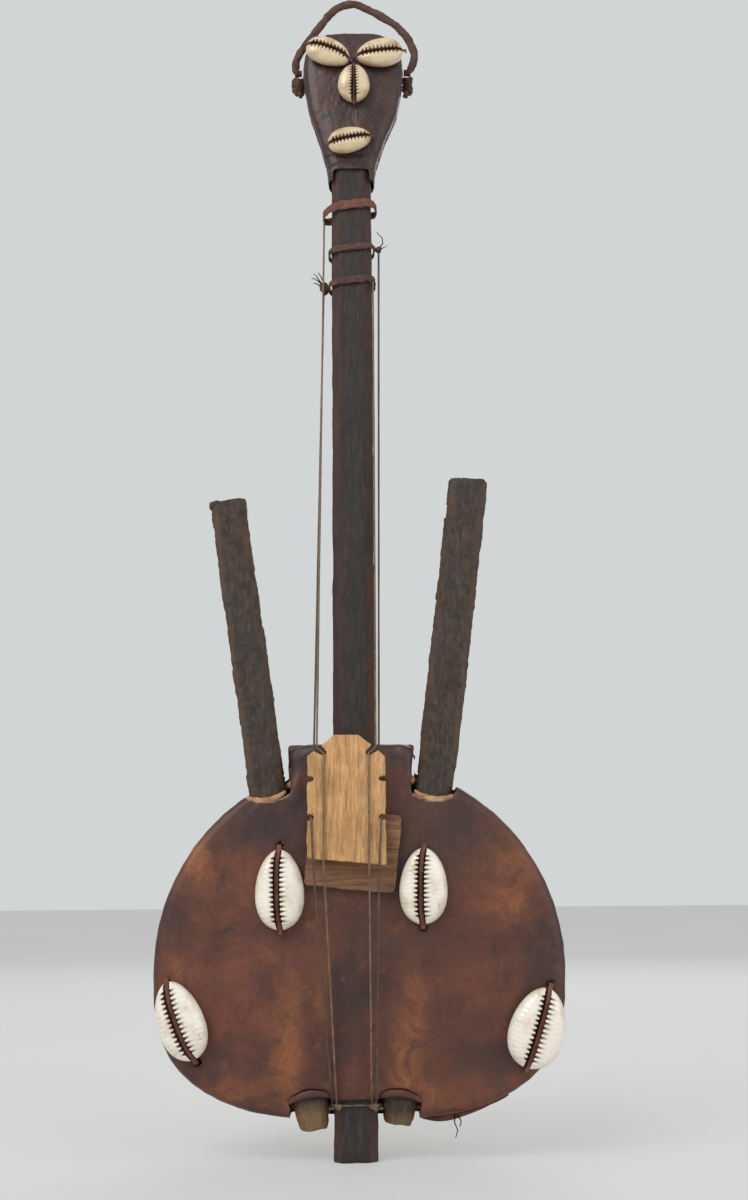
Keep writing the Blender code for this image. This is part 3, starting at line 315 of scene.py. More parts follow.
# Woods: dark, middle, light and rubbed colours, the pattern's stretch (small along the grain),
# the grain's scale, and how deep it shows
WOODS = {
    "neck_wood": ((26, 22, 20), (45, 37, 32), (68, 54, 44), (80, 50, 38),
                  (1, 1, 0.16), 900.0, 0.5),
    "post_wood": ((34, 28, 25), (60, 48, 39), (90, 71, 54), (94, 70, 52),
                  (1, 1, 0.3), 900.0, 0.5),
    "plate_wood": ((158, 112, 66), (198, 152, 98), (214, 172, 118), (206, 164, 112),
                   (1, 1, 0.035), 800.0, 0.35),
    "base_wood": ((100, 68, 46), (138, 97, 65), (164, 120, 84), (156, 112, 76),
                  (0.07, 1, 1), 600.0, 0.5),
}
# Shells: pale, tan
SHELLS = {
    "cowrie_shell": ((238, 231, 216), (208, 188, 158)),
    "face_shell": ((214, 192, 158), (164, 128, 90)),
}
WHITE = (1, 1, 1, 1)
BLACK = (0, 0, 0, 1)


def linear(red, green, blue):
    """A colour as seen on screen, 0 to 255, as a shader colour."""
    def one(value):
        share = value / 255
        return share / 12.92 if share <= 0.04045 else ((share + 0.055) / 1.055) ** 2.4
    return (one(red), one(green), one(blue), 1.0)


def climb(value, start, over, top=1.0):
    """0 up to the start, then rising by 1 over each stretch of that length, as far as the top."""
    return min(max((value - start) / over, 0.0), top)


def bell(value, width):
    """1 at 0, and falling off smoothly to both sides."""
    return math.exp(-(value / width) ** 2)


def shares(count):
    """Evenly spaced numbers from 0 to 1."""
    return [i / (count - 1) for i in range(count)]


class Finish:
    """A material under construction: a Principled shader and short calls for what feeds it."""

    def __init__(self, name, roughness, coat=0.0):
        self.made = bpy.data.materials.new(name)
        self.made.use_nodes = True
        self.tree = self.made.node_tree
        self.shader = self.tree.nodes["Principled BSDF"]
        self.shader.inputs["Roughness"].default_value = roughness
        self.shader.inputs["Coat Weight"].default_value = coat
        self.where = self.add("ShaderNodeTexCoord").outputs["Object"]

    def add(self, kind, **settings):
        node = self.tree.nodes.new(kind)
        for key, value in settings.items():
            setattr(node, key, value)
        return node

    def join(self, out, into):
        self.tree.links.new(out, into)

    def stretched(self, scale):
        """The place on the object, with some axes drawn out."""
        node = self.add("ShaderNodeMapping")
        node.inputs["Scale"].default_value = scale
        self.join(self.where, node.inputs["Vector"])
        return node.outputs["Vector"]

    def noise(self, scale, detail=5.0, rough=0.6, where=None, twist=0.0):
        node = self.add("ShaderNodeTexNoise")
        node.inputs["Scale"].default_value = scale
        node.inputs["Detail"].default_value = detail
        node.inputs["Roughness"].default_value = rough
        node.inputs["Distortion"].default_value = twist
        self.join(where or self.where, node.inputs["Vector"])
        return node.outputs["Fac"]

    def cells(self, scale):
        node = self.add("ShaderNodeTexVoronoi", feature="DISTANCE_TO_EDGE")
        node.inputs["Scale"].default_value = scale
        self.join(self.where, node.inputs["Vector"])
        return node.outputs["Distance"]

    def ramp(self, share, stops):
        """Colours between stops, each a position and a shader colour."""
        node = self.add("ShaderNodeValToRGB")
        points = node.color_ramp.elements
        while len(points) < len(stops):
            points.new(0.5)
        for point, (at, colour) in zip(points, stops):
            point.position = at
            point.color = colour
        self.join(share, node.inputs["Fac"])
        return node.outputs["Color"]

    def mask(self, share, low, high):
        return self.ramp(share, [(low, BLACK), (high, WHITE)])

    def mix(self, share, first, second, kind="MIX"):
        node = self.add("ShaderNodeMixRGB", blend_type=kind)
        for value, socket in zip((share, first, second), node.inputs):
            if isinstance(value, (int, float, tuple)):
                socket.default_value = value
            else:
                self.join(value, socket)
        return node.outputs["Color"]

    def tint(self, share, base, strength, colour):
        """The base, with some of a colour laid over it where the share is high."""
        return self.mix(share, base, self.mix(strength, base, colour))

    def grained(self, base, pattern, low, high):
        """The base, darker and lighter by a fine pattern; each stop is a position and a grey."""
        stops = [(at, linear(grey, grey, grey)) for at, grey in (low, high)]
        return self.mix(0.3, base, self.ramp(pattern, stops), "OVERLAY")

    def attribute(self, name):
        return self.add("ShaderNodeAttribute", attribute_name=name).outputs["Fac"]

    def bump(self, height, strength, distance):
        """Adds to the bumps that are there."""
        node = self.add("ShaderNodeBump")
        node.inputs["Strength"].default_value = strength
        node.inputs["Distance"].default_value = distance
        self.join(height, node.inputs["Height"])
        last = self.shader.inputs["Normal"].links
        if last:
            self.join(last[0].from_socket, node.inputs["Normal"])
        self.join(node.outputs["Normal"], self.shader.inputs["Normal"])

    def rough(self, share, low, high):
        node = self.add("ShaderNodeMapRange")
        node.inputs["To Min"].default_value = low
        node.inputs["To Max"].default_value = high
        self.join(share, node.inputs["Value"])
        self.join(node.outputs["Result"], self.shader.inputs["Roughness"])

    def colour(self, value):
        """Joins the colour last and gives back the finished material."""
        self.join(value, self.shader.inputs["Base Color"])
        return self.made


def hide_finish():
    """Red-brown hide: drifts of colour, the marked patches, stains, scuffs, and pale cut edges."""
    made = Finish("body_hide", 0.5)
    patches = made.noise(22.0, 7.0, 0.66, twist=0.7)
    base = made.ramp(patches, [
        (0.3, linear(52, 31, 27)), (0.43, linear(84, 43, 31)),
        (0.56, linear(108, 57, 36)), (0.7, linear(134, 76, 43)),
    ])
    broken = made.noise(75.0, 8.0, 0.72, twist=1.0)
    torn = made.mask(broken, 0.36, 0.6)
    drawn = made.noise(150.0, 6.0, 0.7, where=made.stretched((1, 1, 0.18)), twist=0.3)
    base = made.tint(made.mask(drawn, 0.52, 0.7), base, 0.55, linear(58, 34, 30))
    mottled = made.mask(made.noise(50.0, 9.0, 0.78, twist=0.8), 0.5, 0.62)
    base = made.tint(mottled, base, 0.42, linear(42, 29, 27))
    rubbed = made.mask(made.noise(66.0, 9.0, 0.8, twist=0.5), 0.57, 0.7)
    base = made.tint(rubbed, base, 0.38, linear(176, 106, 60))
    dark = made.mix(1.0, made.attribute("dark"), made.mix(0.4, WHITE, torn), "MULTIPLY")
    base = made.mix(dark, base, made.mix(broken, linear(34, 27, 28), linear(58, 42, 38)))
    tan = made.mix(1.0, made.attribute("tan"), torn, "MULTIPLY")
    base = made.mix(tan, base, linear(158, 94, 50))
    stains = made.mask(made.noise(34.0, 8.0, 0.74, twist=1.2), 0.61, 0.68)
    base = made.tint(stains, base, 0.8, linear(40, 30, 30))
    scuffs = made.mask(made.noise(140.0, 8.0, 0.78), 0.64, 0.76)
    base = made.mix(scuffs, base, linear(176, 122, 82))
    base = made.grained(base, made.noise(1100.0, 3.0, 0.6), (0.3, 70), (0.7, 195))
    base = made.mix(made.attribute("raw"), base, linear(180, 134, 96))
    made.bump(made.cells(480.0), 0.2, 0.0004)
    made.bump(broken, 0.35, 0.0008)
    made.bump(made.noise(60.0, 6.0, 0.6), 0.3, 0.001)
    made.rough(patches, 0.34, 0.6)
    return made.colour(base)


def head_finish():
    """Nearly black leather, worn to brown in places."""
    made = Finish("head_leather", 0.5)
    patches = made.noise(52.0, 7.0, 0.68, twist=0.9)
    base = made.ramp(patches, [
        (0.32, linear(28, 21, 21)), (0.46, linear(50, 31, 28)),
        (0.6, linear(72, 42, 34)), (0.74, linear(102, 58, 42)),
    ])
    specks = made.mask(made.noise(150.0, 7.0, 0.7), 0.58, 0.7)
    base = made.mix(specks, base, linear(30, 23, 23))
    made.bump(made.cells(560.0), 0.25, 0.0003)
    made.bump(made.noise(160.0, 6.0), 0.5, 0.0008)
    made.rough(patches, 0.32, 0.56)
    return made.colour(base)


def thong_finish(name, dark, light):
    made = Finish(name, 0.7)
    patches = made.noise(230.0, 5.0, 0.65)
    base = made.ramp(patches, [(0.3, linear(*dark)), (0.7, linear(*light))])
    made.bump(made.noise(900.0, 4.0), 0.35, 0.0003)
    return made.colour(base)


def string_finish(name, dark, light):
    made = Finish(name, 0.45)
    base = made.ramp(made.noise(350.0, 3.0), [(0.3, linear(*dark)), (0.7, linear(*light))])
    made.bump(made.noise(2500.0, 2.0), 0.3, 0.0002)
    return made.colour(base)


def wood_finish(name, dark, middle, light, rubbed, stretch, grain, cracks):
    """Streaky wood, rubbed along its edges and pale where it was cut last."""
    made = Finish(name, 0.72)
    along = made.stretched(stretch)
    streaks = made.noise(grain, 6.0, 0.65, where=along)
    base = made.ramp(streaks, [
        (0.32, linear(*dark)), (0.5, linear(*middle)), (0.68, linear(*light)),
    ])
    blotches = made.noise(55.0, 7.0, 0.68)
    base = made.tint(made.mask(blotches, 0.45, 0.7), base, 0.6, linear(*dark))
    bare = made.mix(1.0, made.attribute("edge"), made.mask(blotches, 0.3, 0.62), "MULTIPLY")
    base = made.mix(bare, base, linear(*rubbed))
    fresh = made.mix(streaks, linear(100, 74, 48), linear(142, 112, 74))
    base = made.mix(made.attribute("raw"), base, fresh)
    fine = made.noise(grain * 2.4, 3.0, 0.6, where=along)
    base = made.grained(base, fine, (0.35, 50), (0.65, 200))
    made.bump(streaks, cracks, 0.0006)
    made.bump(blotches, 0.3, 0.0008)
    made.rough(streaks, 0.58, 0.85)
    return made.colour(base)


def gourd_finish():
    made = Finish("calabash", 0.5, coat=0.1)
    patches = made.noise(20.0, 6.0, 0.6)
    base = made.ramp(patches, [
        (0.3, linear(132, 92, 50)), (0.5, linear(166, 122, 70)), (0.7, linear(190, 148, 92)),
    ])
    specks = made.mask(made.noise(300.0, 4.0, 0.7), 0.66, 0.72)
    base = made.mix(specks, base, linear(96, 64, 38))
    made.bump(made.noise(90.0, 5.0), 0.15, 0.0008)
    made.rough(patches, 0.42, 0.6)
    return made.colour(base)


def shell_finish(name, pale, tan):
    """Glossy shell, tan where it is low, with painted shade in the grooves between the teeth and
    in the slit.
    """
    made = Finish(name, 0.22, coat=0.3)
    base = made.ramp(made.noise(170.0, 4.0, 0.55), [(0.45, linear(*pale)), (0.75, linear(*tan))])
    specks = made.mask(made.noise(380.0, 5.0, 0.7), 0.66, 0.71)
    base = made.mix(specks, base, linear(150, 104, 76))
    base = made.tint(made.attribute("low"), base, 0.4, linear(*tan))
    # Painted shade: brown darkening in the grooves between the teeth and on the slit's walls
    base = made.mix(made.attribute("gap"), base, linear(74, 42, 32))
    made.bump(made.noise(500.0, 3.0), 0.06, 0.0003)
    return made.colour(base)


def make_finishes():
    looks = {"body_hide": hide_finish(), "head_leather": head_finish()}
    for make, table in (
        (thong_finish, THONGS), (string_finish, THREADS), (wood_finish, WOODS),
        (shell_finish, SHELLS),
    ):
        for name, values in table.items():
            looks[name] = make(name, *values)
    looks["calabash"] = gourd_finish()
    return looks


def show(thing, finish, body, slot, *nodes):
    """Gives a new piece its material, the body it moves with, and the nodes it stands for."""
    thing.data.materials.clear()
    thing.data.materials.append(finish)
    if body:
        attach(thing, body)
    if nodes:
        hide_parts(*nodes)


def paint(thing, **fields):
    """Stores a value for each point under each field's name, for the material to read."""
    for label, values in fields.items():
        field = thing.data.attributes.new(label, "FLOAT", "POINT")
        field.data.foreach_set("value", values)


def lofted(name, rings):
    """Joins equal rings of points into a closed skin with a flat face at each end."""
    around = len(rings[0])
    verts = [tuple(point) for ring in rings for point in ring]
    faces = []
    for i in range(len(rings) - 1):
        here, there = i * around, (i + 1) * around
        for j in range(around):
            k = (j + 1) % around
            faces.append((here + j, here + k, there + k, there + j))
    faces.append(tuple(range(around)))
    faces.append(tuple(range(len(verts) - around, len(verts))))
    mesh = bpy.data.meshes.new(name)
    mesh.from_pydata(verts, [], faces)
    build = bmesh.new()
    build.from_mesh(mesh)
    bmesh.ops.recalc_face_normals(build, faces=build.faces)
    build.to_mesh(mesh)
    build.free()
    mesh.shade_smooth()
    thing = bpy.data.objects.new(name, mesh)
    bpy.context.scene.collection.objects.link(thing)
    return thing


def tube(name, route, radius, sides=8, wobble=0.0, taper=False):
    """A round cord through the points."""
    points = [Vector(p) * MM for p in route]
    rings = []
    for i, point in enumerate(points):
        ahead = points[min(i + 1, len(points) - 1)] - points[max(i - 1, 0)]
        ahead.normalize()
        side = Vector((0, 0, 1)) if abs(ahead.x) > 0.9 else Vector((1, 0, 0))
        side = (side - ahead * side.dot(ahead)).normalized()
        rise = ahead.cross(side)
        size = radius * MM * (1 - 0.6 * i / len(points) if taper else 1.0)
        size *= 1 + wobble * noise.noise(point * 400)
        rings.append([
            point + (side * math.cos(a) + rise * math.sin(a)) * size
            for a in (2 * math.pi * j / sides for j in range(sides))
        ])
    return lofted(name, rings)


def strip(name, middle, across, thick, sides=8):
    """A ribbon of leather along a line; across gives each point's half width as a vector."""
    rings = []
    for i, (point, reach) in enumerate(zip(middle, across)):
        point, reach = Vector(point), Vector(reach)
        ahead = Vector(middle[min(i + 1, len(middle) - 1)]) - Vector(middle[max(i - 1, 0)])
        face = ahead.normalized().cross(reach.normalized()).normalized() * (thick / 2)
        rings.append([
            (point + reach * math.cos(a) + face * math.sin(a)) * MM
            for a in (2 * math.pi * j / sides for j in range(sides))
        ])
    return lofted(name, rings)


def remade(name):
    """A CAD solid as an even, soft-edged skin, ready to be worn down."""
    node, voxel, smoothing = REMADE[name]
    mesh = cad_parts[node].data.copy()
    build = bmesh.new()
    build.from_mesh(mesh)
    bmesh.ops.remove_doubles(build, verts=build.verts, dist=1e-6)
    build.to_mesh(mesh)
    build.free()
    thing = bpy.data.objects.new(name, mesh)
    bpy.context.scene.collection.objects.link(thing)
    remesh = thing.modifiers.new("even", "REMESH")
    remesh.mode = "VOXEL"
    remesh.voxel_size = voxel * MM
    relax = thing.modifiers.new("soft", "SMOOTH")
    relax.factor = 0.5
    relax.iterations = smoothing
    ready = thing.evaluated_get(bpy.context.evaluated_depsgraph_get())
    thing.data = bpy.data.meshes.new_from_object(ready)
    thing.modifiers.clear()
    thing.data.shade_smooth()
    return thing


def push_skin(thing, move):
    """Moves each point along its normal by what move gives for its place, in metres."""
    verts = thing.data.vertices
    # All are worked out before any is moved: reading a normal after a move is very slow
    moves = [vert.normal * move(vert.co) for vert in verts]
    for vert, way in zip(verts, moves):
        vert.co += way
    thing.data.update()


def worn(thing):
    """Moves the skin in and out in layers of noise, mostly in."""
    seed, layers = WEAR[thing.name]
    shift = Vector((seed * 3.1, seed * 1.7, seed * 0.9))
    layers = [(depth * MM, size * MM, Vector(stretch)) for depth, size, stretch in layers]

    def move(place):
        return sum(
            depth * (noise.fractal(place * stretch / size + shift, 1.0, 2.0, 3) - WEAR_LEVEL)
            for depth, size, stretch in layers
        )

    push_skin(thing, move)


def hewn(thing):
    """Short flat cuts of a blade, each at its own small slant."""
    seed, _ = WEAR[thing.name]
    shift = Vector((seed * 2.3, seed * 1.1, seed * 0.7))
    cut = Vector((0.8, 0.8, 1.5)) * CUT_SIZE * MM

    def move(place):
        at = Vector((place.x / cut.x, place.y / cut.y, place.z / cut.z)) + shift
        _, points = noise.voronoi(at)
        nearest = points[0]
        slant = (at - nearest).dot(noise.noise_vector(nearest * 7.3))
        level = noise.noise(nearest * 3.1)
        return CUT_DEPTH * MM * (slant * 2.2 + level * 0.9 - 0.25)

    push_skin(thing, move)


def crease_hide(hide):
    """Folds pulled into the hide round each stick's slit and along the collar."""
    for vert in hide.data.vertices:
        if vert.co.y > -2 * MM:
            continue
        for i, (x, z) in enumerate(PULLS):
            away = Vector((vert.co.x / MM - x, vert.co.z / MM - z))
            if away.length > PULL_REACH:
                continue
            angle = math.atan2(away.y, away.x)
            fold = math.sin(angle * FOLDS_AROUND + i) * math.exp(-away.length / FOLD_LENGTH)
            depth = FOLD_DEPTH * fold * climb(away.length, 0, 8) + DENT_DEPTH
            vert.co.y += depth * MM * math.exp(-away.length / DENT_LENGTH)
        x, z = vert.co.x / MM, vert.co.z / MM
        side = abs(x)
        collar = bell(z - 152, 14) * (side < 30)
        if z > COLLAR_FROM and 10 < side < 29:
            # The collar's ends turn back round the neck, droop, and are drawn in at the waist
            turned = climb(side, 17, 8, top=1.2)
            vert.co.y += COLLAR_TURN * MM * turned * turned * climb(z, COLLAR_FROM, 8)
            vert.co.z -= COLLAR_DROOP * MM * turned * turned * climb(z, 150, 6)
            vert.co.x -= math.copysign(COLLAR_WAIST * MM * bell(z - 148, 4.5) * turned, x)
        ripple = math.sin(x * 0.55 + 1.2 * math.sin(z * 0.12)) * climb(side, 9, 4)
        vert.co.y += COLLAR_RIPPLE * MM * collar * ripple
    hide.data.update()


def mark_hide(hide):
    """Paler where a slit shows the hide's thickness; dark and tan where the patches lie."""
    raw, dark, tan = [], [], []
    low, high = CUT_HEIGHTS
    for vert in hide.data.vertices:
        x, y, z = vert.co / MM
        out = math.hypot(x - BODY_X, z - BODY_Z) / BODY_RADIUS
        sideways = abs(vert.normal.y) < 0.8
        cut = sideways and y < CUT_FRONT and out < 0.93 and low < z < high
        raw.append(CUT_PALENESS if cut else 0.0)
        shift = 4 * noise.noise(vert.co * 90)
        for values, patches in ((dark, DARK_PATCHES), (tan, TAN_PATCHES)):
            values.append(min(sum(
                strength * bell(x + shift - px, wide) * bell(z + shift - pz, long)
                for px, pz, wide, long, strength in patches
            ), 1.0))
        rim = climb(out, RIM_FROM, RIM_WIDTH) * (y < 4)
        dark[-1] = max(dark[-1], RIM_DARKNESS * rim)
    paint(hide, raw=raw, dark=dark, tan=tan)


def mark_wood(thing, pale_below=None):
    """Rubbed along the chamfers, and paler below a height where the wood was cut last."""
    edge, raw = [], []
    for vert in thing.data.vertices:
        edge.append(climb(min(abs(vert.normal.x), abs(vert.normal.y)), 0.3, 1 / 3))
        raw.append(climb(pale_below - vert.co.z / MM, 0, 6) if pale_below else 0.0)
    paint(thing, edge=edge, raw=raw)


def head_grooves(place):
    """A groove down from the nose, and two round the sleeve that grips the neck."""
    x, _, z = place / MM
    low, high = NOSE_GROOVE
    lower, upper = SLEEVE_GROOVES
    nose = bell(x - 1.4 - 0.4 * math.sin(z * 0.5), 0.7) * (low < z < high)
    nose *= math.sin(math.pi * (z - low) / (high - low))
    sleeve = bell(z - lower + 0.02 * x * x, 0.7) + bell(z - upper - 0.05 * x, 0.6)
    return -(NOSE_GROOVE_DEPTH * nose + SLEEVE_GROOVE_DEPTH * sleeve) * MM


def put_on(name, look, body, slot):
    """A piece that only has to be remade and worn."""
    thing = remade(name)
    worn(thing)
    show(thing, look, body, slot, REMADE[name][0])


def make_loop(look):
    """The hanging loop, and at each end a knot, the winding below it and the roll it turns on."""
    put_on("loop_thong", look, "loop", "thong_leather")
    for side, (x, size, tail) in LOOP_TIES.items():
        put_on(f"loop_tie_{side}", look, "kora", "thong_leather")
        route = []
        for step in range(WINDING_POINTS):
            angle = 2 * math.pi * step / POINTS_A_TURN
            drop = WINDING_DROP * step / (WINDING_POINTS - 1)
            route.append((
                x + size * math.cos(angle), LOOP_Y + size * math.sin(angle),
                WINDING_TOP - drop + 0.2 * math.sin(step),
            ))
        winding = tube(f"loop_winding_{side}", route + list(tail), WINDING_RADIUS, wobble=0.5)
        show(winding, look, "kora", "thong_leather")
        line = [(x + ROLL_RADIUS * (2 * t - 1), LOOP_Y, LOOP_HINGE_Z) for t in shares(6)]
        roll = tube(f"loop_roll_{side}", line, ROLL_RADIUS, sides=16, wobble=0.4)
        show(roll, look, "loop", "thong_leather")


def make_leather_pieces(looks):
    brown, dark = looks["thong_leather"], looks["dark_thong"]
    hide = remade("hide")
    crease_hide(hide)
    worn(hide)
    mark_hide(hide)
    show(hide, looks["body_hide"], "kora", "body_hide", "hide_cover")
    for side in ("front", "back"):
        leather = remade(f"head_skin_{side}")
        worn(leather)
        push_skin(leather, head_grooves)
        show(leather, looks["head_leather"], "kora", "head_leather", f"head_{side}_leather")
    make_loop(dark)
    for number, look in ((1, brown), (2, dark), (3, dark)):
        put_on(f"ring_thong_{number}", look, f"ring_{number}", "thong_leather")
    for name in COWRIES:
        shell = Cowrie(name)
        thong = remade(f"shell_thong_{name}")
        worn(thong)
        for vert in thong.data.vertices:
            share = (vert.co / MM - shell.centre).dot(shell.along) / shell.length * 2
            vert.co += shell.across * shell.slit_at(share) * MM
        look = dark if shell.on_face else brown
        show(thong, look, "kora", "thong_leather", f"thong_{name}")
    put_on("tail_cord", looks["thread"], "kora", "string")


def make_board(name, look, slot):
    board = remade(name)
    worn(board)
    mark_wood(board)
    show(board, look, "kora", slot, REMADE[name][0])


def make_post(side, look):
    sizes = POSTS[side]
    post = remade(f"post_{side}")
    for vert in post.data.vertices:
        over = vert.co.z / MM - SLIT_Z
        middle = (sizes["slit_x"] + sizes["lean"] * over) * MM
        vert.co.x += (vert.co.x - middle) * sizes["wider"] * climb(over, 2, 30)
    hewn(post)
    worn(post)
    mark_wood(post, sizes["pale_below"])
    show(post, look, "kora", "hewn_wood", f"handpost_{side}")


def make_wood_pieces(looks):
    make_board("neck", looks["neck_wood"], "dark_wood")
    for side in POSTS:
        make_post(side, looks["post_wood"])
    make_board("bridge", looks["plate_wood"], "pale_wood")
    make_board("bridge_foot", looks["base_wood"], "brown_wood")
    put_on("calabash", looks["calabash"], "kora", "calabash")
    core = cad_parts["head_core"]
    core.data.materials.clear()
    core.data.materials.append(looks["base_wood"])


class Cowrie:
    """A shell's place, size and cross-sections; a share along it runs from -1 to 1."""

    def __init__(self, name):
        x, z, self.length, self.width, self.height, tilt = COWRIES[name]
        turn = math.radians(tilt)
        self.centre = Vector((x, 0, z))
        self.across = Vector((math.cos(turn), 0, -math.sin(turn)))
        self.along = Vector((math.sin(turn), 0, math.cos(turn)))
        self.aside = SLIT_ASIDE.get(name, 0.0)
        self.opens = NOSE_OPENS if name == "nose" else 0.0
        self.on_face = name in FACE
        self.scale = FACE_SCALE if self.on_face else 1.0
        self.teeth = FACE_TEETH if self.on_face else BODY_TEETH

    def slit_at(self, share):
        """How far the slit lies off the middle."""
        return self.aside * max(1 - abs(share) ** 3, 0.0)

    def half_width(self, share):
        return self.width / 2 * (1 - abs(share) ** 2.1) ** 0.5 * (1 - 0.13 * share - 0.03)

    def top(self, share):
        return self.height * (0.3 + 0.7 * (1 - abs(share) ** 2.6) ** 0.5)

    def half_section(self, share, side):
        """One lip from the slit to the seat: distance across, height, and painted shade in the
        gap.
        """
        half, top, scale = self.half_width(share), self.top(share), self.scale
        reach, sharpness, bite = TEETH[side]
        wave = math.cos(math.pi * self.teeth * (share + TEETH_END) / TEETH_END)
        gap = climb(TEETH_END - abs(share), 0, 0.15) * (0.5 + 0.5 * wave) ** sharpness
        open_by = self.opens * (0.6 - share)
        edge = min((SLIT_HALF + open_by + bite * gap) * scale, half * 0.55)
        outer = max(half - side * self.slit_at(share), half * 0.5)
        # The third value of each point is painted shade, full on the slit's floor and walls and in
        # the tooth grooves
        points = [
            (min(1.15 * scale, half * 0.45), top * 0.5 - 0.25 * scale, 1.0),
            (edge, top * 0.74, 0.9),
            (edge, top - TOOTH_DEPTH * scale, gap * 0.9 + 0.1),
        ]
        for step in LIP_STEPS:
            x = edge + (outer - edge) * step
            if step < LIP_CREST:
                y = top - 0.45 * scale * (1 - step / LIP_CREST) ** 2
            else:
                down = (step - LIP_CREST) / (1 - LIP_CREST)
                y = top * (0.42 + 0.58 * (1 - down ** 2.2) ** 0.5)
            groove = gap * bell(x - edge, reach * scale)
            points.append((x, y - TOOTH_DEPTH * scale * groove, min(groove * 1.25, 1.0)))
        points += [(outer * 0.985, top * 0.25, 0.0), (outer * 0.86, 0.0, 0.0)]
        return [(side * x, y, dark) for x, y, dark in points]


def make_cowrie(name, finish):
    """Two rolled lips over a slit; short, wide teeth on the left, long, fine ones on the right."""
    shell = Cowrie(name)
    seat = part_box(f"cowrie_{name}")[1].y / MM
    rings, painted_gap_shade, lows = [], [], []
    for t in shares(FACE_STATIONS if shell.on_face else BODY_STATIONS):
        share = -math.cos(math.pi * (COWRIE_END + (1 - 2 * COWRIE_END) * t))
        half, top = shell.half_width(share), shell.top(share)
        middle = shell.centre + shell.along * (share * shell.length / 2)
        ring = []
        for x, y, gap in shell.half_section(share, -1)[::-1] + shell.half_section(share, 1):
            x += shell.slit_at(share)
            ring.append((middle + shell.across * x + Vector((0, seat - y, 0))) * MM)
            painted_gap_shade.append(gap)
            lows.append(max(1 - y / (top * 0.75), 0.0) if abs(x) > half * 0.5 else 0.0)
        rings.append(ring)
    piece = lofted(f"shell_{name}", rings)
    # The gap field is painted shade for the tooth grooves and the slit
    paint(piece, gap=painted_gap_shade, low=lows)
    show(piece, finish, "kora", "cowrie_shell", f"cowrie_{name}")


def string_route(corners):
    """Straight runs cut into short steps, with each corner a little rounded."""
    corners = [Vector(corner) for corner in corners]
    route = corners[:1]
    for before, corner, after in zip(corners, corners[1:], corners[2:]):
        back, on = before - corner, after - corner
        ease = min(STRING_CORNER, back.length * 0.3, on.length * 0.3)
        start = corner + back.normalized() * ease
        end = corner + on.normalized() * ease
        last = route[-1]
        steps = max(int((start - last).length / STRING_STEP), 1)
        route += [last.lerp(start, (i + 1) / steps) for i in range(steps)]
        route += [start.lerp(corner, 0.5).lerp(corner.lerp(end, 0.5), 0.5), end]
    last = route[-1]
    route += [last.lerp(corners[-1], share) for share in shares(STRING_END_STEPS + 1)[1:]]
    return route


def make_strings(finishes):
    for i, (node, (body, corners)) in enumerate(STRINGS.items()):
        piece = tube(f"{node}_cord", string_route(corners), STRING_RADIUS, wobble=0.25)
        show(piece, finishes[i % 2], None, "string", node)
        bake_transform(piece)


def slit_line(x, lean, half, front, height, bow):
    """A line across a post's slit, square to the post's lean and bowed in the middle."""
    line = []
    for t in shares(SLIT_POINTS):
        off = half * (2 * t - 1)
        line.append((x + off, front, height + bow * math.sin(math.pi * t) - lean * off))
    return line


def make_hide_edges(raw_made, hide_made):
    """The pale lip under each post, the cuff over its foot, and the loose edge on the right."""
    for side, post in POSTS.items():
        line = slit_line(post["slit_x"], post["lean"], **LIP_LINE)
        across = []
        for i, t in enumerate(shares(SLIT_POINTS)):
            reach = LIP_HALF_WIDTH * (0.6 + 0.4 * math.sin(math.pi * t) + 0.1 * math.sin(i * 2.1))
            across.append((0, 0.3, reach))
        show(strip(f"slit_lip_{side}", line, across, LIP_THICK), raw_made, "kora", "body_hide")
    for side, post in POSTS.items():
        line = slit_line(post["foot_x"], post["lean"], **CUFF_LINE)
        across = [(0, 0.5, CUFF_HALF_WIDTH)] * SLIT_POINTS
        show(strip(f"stub_cuff_{side}", line, across, CUFF_THICK), hide_made, "kora", "body_hide")
    start, end = LOOSE_EDGE_X
    line, across = [], []
    for t in shares(LOOSE_EDGE_POINTS):
        x = start + (end - start) * t
        out = (x - BODY_X) / FOOT_HALF
        foot = FOOT_REACH * (1 - out ** FOOT_SQUARENESS) ** (1 / FOOT_SQUARENESS)
        drop = 1.5 * math.sin(math.pi * min(t * 1.25, 1)) + 0.3 * math.sin(9 * t)
        line.append((x, -1.2 - 0.8 * t, BODY_Z - foot - drop * 0.5))
        across.append((0, 0.5, 0.6 + max(drop, 0) * 0.8))
    flap = strip("hide_loose_edge", line, across, LOOSE_EDGE_THICK)
    show(flap, hide_made, "kora", "body_hide")


def make_loose_ends(finish):
    for i, (body, route) in enumerate(LOOSE_ENDS):
        thread = tube(f"loose_end_{i}", route, LOOSE_END_RADIUS, sides=6, taper=True)
        show(thread, finish, body, "string")


def make_floor():
    """A pale floor that takes the shadow; the camera sees it a little lit from within."""
    bpy.ops.mesh.primitive_plane_add(size=FLOOR_SIZE, location=(0, 0, 0))
    floor = bpy.context.object
    floor.name = "floor"
    made = Finish("floor", 0.8)
    made.bump(made.noise(40.0, 4.0), 0.05, 0.001)
    tone = made.ramp(
        made.noise(3.0, 3.0), [(0.3, linear(214, 213, 210)), (0.7, linear(220, 219, 216))],
    )
    floor.data.materials.append(made.colour(tone))
    glow = made.add("ShaderNodeEmission")
    glow.inputs["Color"].default_value = linear(208, 209, 208)
    share = made.add("ShaderNodeMath", operation="MULTIPLY")
    share.inputs[1].default_value = FLOOR_GLOW
    made.join(made.add("ShaderNodeLightPath").outputs["Is Camera Ray"], share.inputs[0])
    both = made.add("ShaderNodeMixShader")
    made.join(share.outputs["Value"], both.inputs["Fac"])
    made.join(made.shader.outputs["BSDF"], both.inputs[1])
    made.join(glow.outputs["Emission"], both.inputs[2])
    made.join(both.outputs["Shader"], made.tree.nodes["Material Output"].inputs["Surface"])


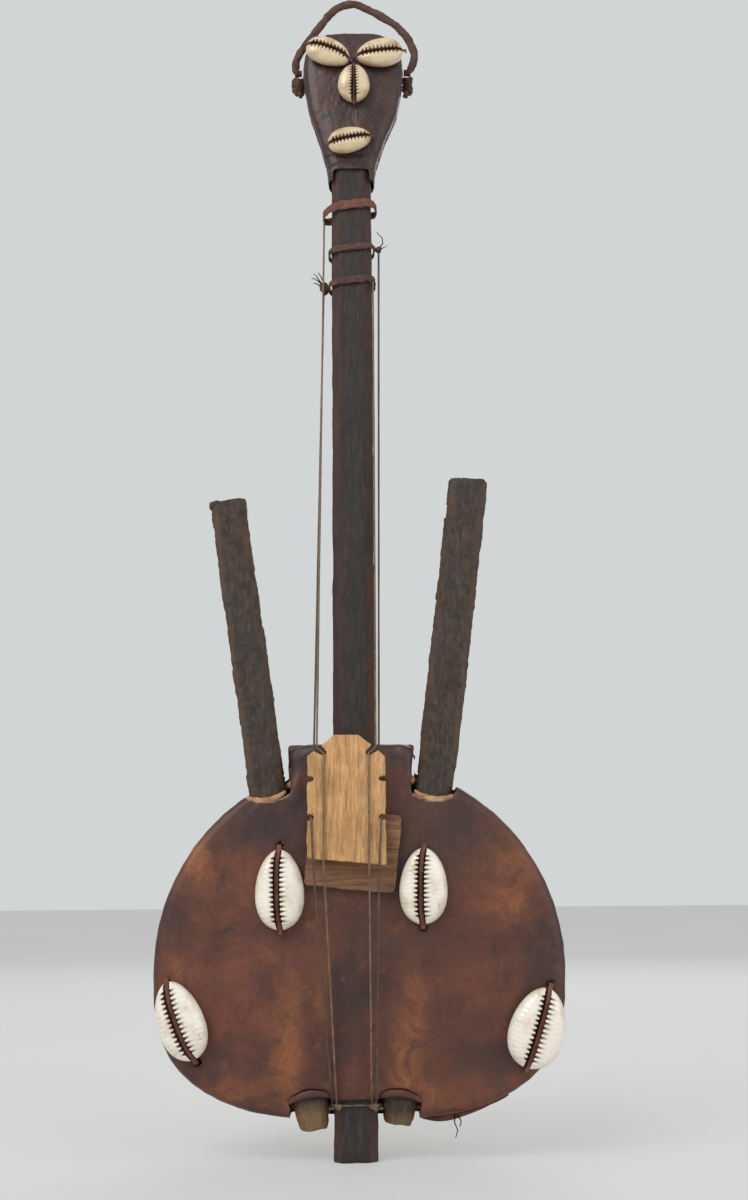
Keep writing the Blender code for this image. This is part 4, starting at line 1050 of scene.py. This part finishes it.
def make_world():
    """Soft light all round, with a plain pale wall where the camera looks past the floor."""
    world = bpy.data.worlds.new("studio")
    bpy.context.scene.world = world
    world.use_nodes = True
    tree = world.node_tree
    soft = tree.nodes["Background"]
    soft.inputs["Color"].default_value = WORLD_COLOUR
    soft.inputs["Strength"].default_value = WORLD_STRENGTH
    seen = tree.nodes.new("ShaderNodeBackground")
    seen.inputs["Color"].default_value = linear(210, 213, 213)
    rays = tree.nodes.new("ShaderNodeLightPath")
    blend = tree.nodes.new("ShaderNodeMixShader")
    tree.links.new(rays.outputs["Is Camera Ray"], blend.inputs["Fac"])
    tree.links.new(soft.outputs["Background"], blend.inputs[1])
    tree.links.new(seen.outputs["Background"], blend.inputs[2])
    tree.links.new(blend.outputs["Shader"], tree.nodes["World Output"].inputs["Surface"])


def make_lamps():
    for name, (place, power, size) in LAMPS.items():
        lamp = bpy.data.lights.new(name, "AREA")
        lamp.energy = power
        lamp.size = size
        thing = bpy.data.objects.new(name, lamp)
        thing.location = place
        thing.rotation_euler = (LAMPS_AIM - Vector(place)).to_track_quat("-Z", "Y").to_euler()
        bpy.context.scene.collection.objects.link(thing)


def make_camera():
    camera = bpy.data.cameras.new("camera")
    camera.lens = LENS
    camera.sensor_width = SENSOR
    thing = bpy.data.objects.new("camera", camera)
    thing.location = CAMERA_AT
    thing.rotation_mode = "XYZ"
    turn = Vector((0, 1, 0)).to_track_quat("-Z", "Y").to_matrix().to_4x4()
    tilt = turn.Rotation(math.radians(VIEW_TILT), 4, "X")
    roll = turn.Rotation(math.radians(VIEW_ROLL), 4, "Z")
    thing.rotation_euler = (tilt @ turn @ roll).to_euler()
    bpy.context.scene.collection.objects.link(thing)
    bpy.context.scene.camera = thing


def main():
    bpy.context.scene.view_settings.view_transform = "Standard"
    make_camera()
    make_floor()
    make_world()
    make_lamps()

    looks = make_finishes()
    make_leather_pieces(looks)
    make_wood_pieces(looks)
    for name in COWRIES:
        make_cowrie(name, looks["face_shell" if name in FACE else "cowrie_shell"])
    make_strings((looks["tan_string"], looks["dark_string"]))
    make_hide_edges(looks["raw_hide"], looks["body_hide"])
    make_loose_ends(looks["black_thread"])


main()
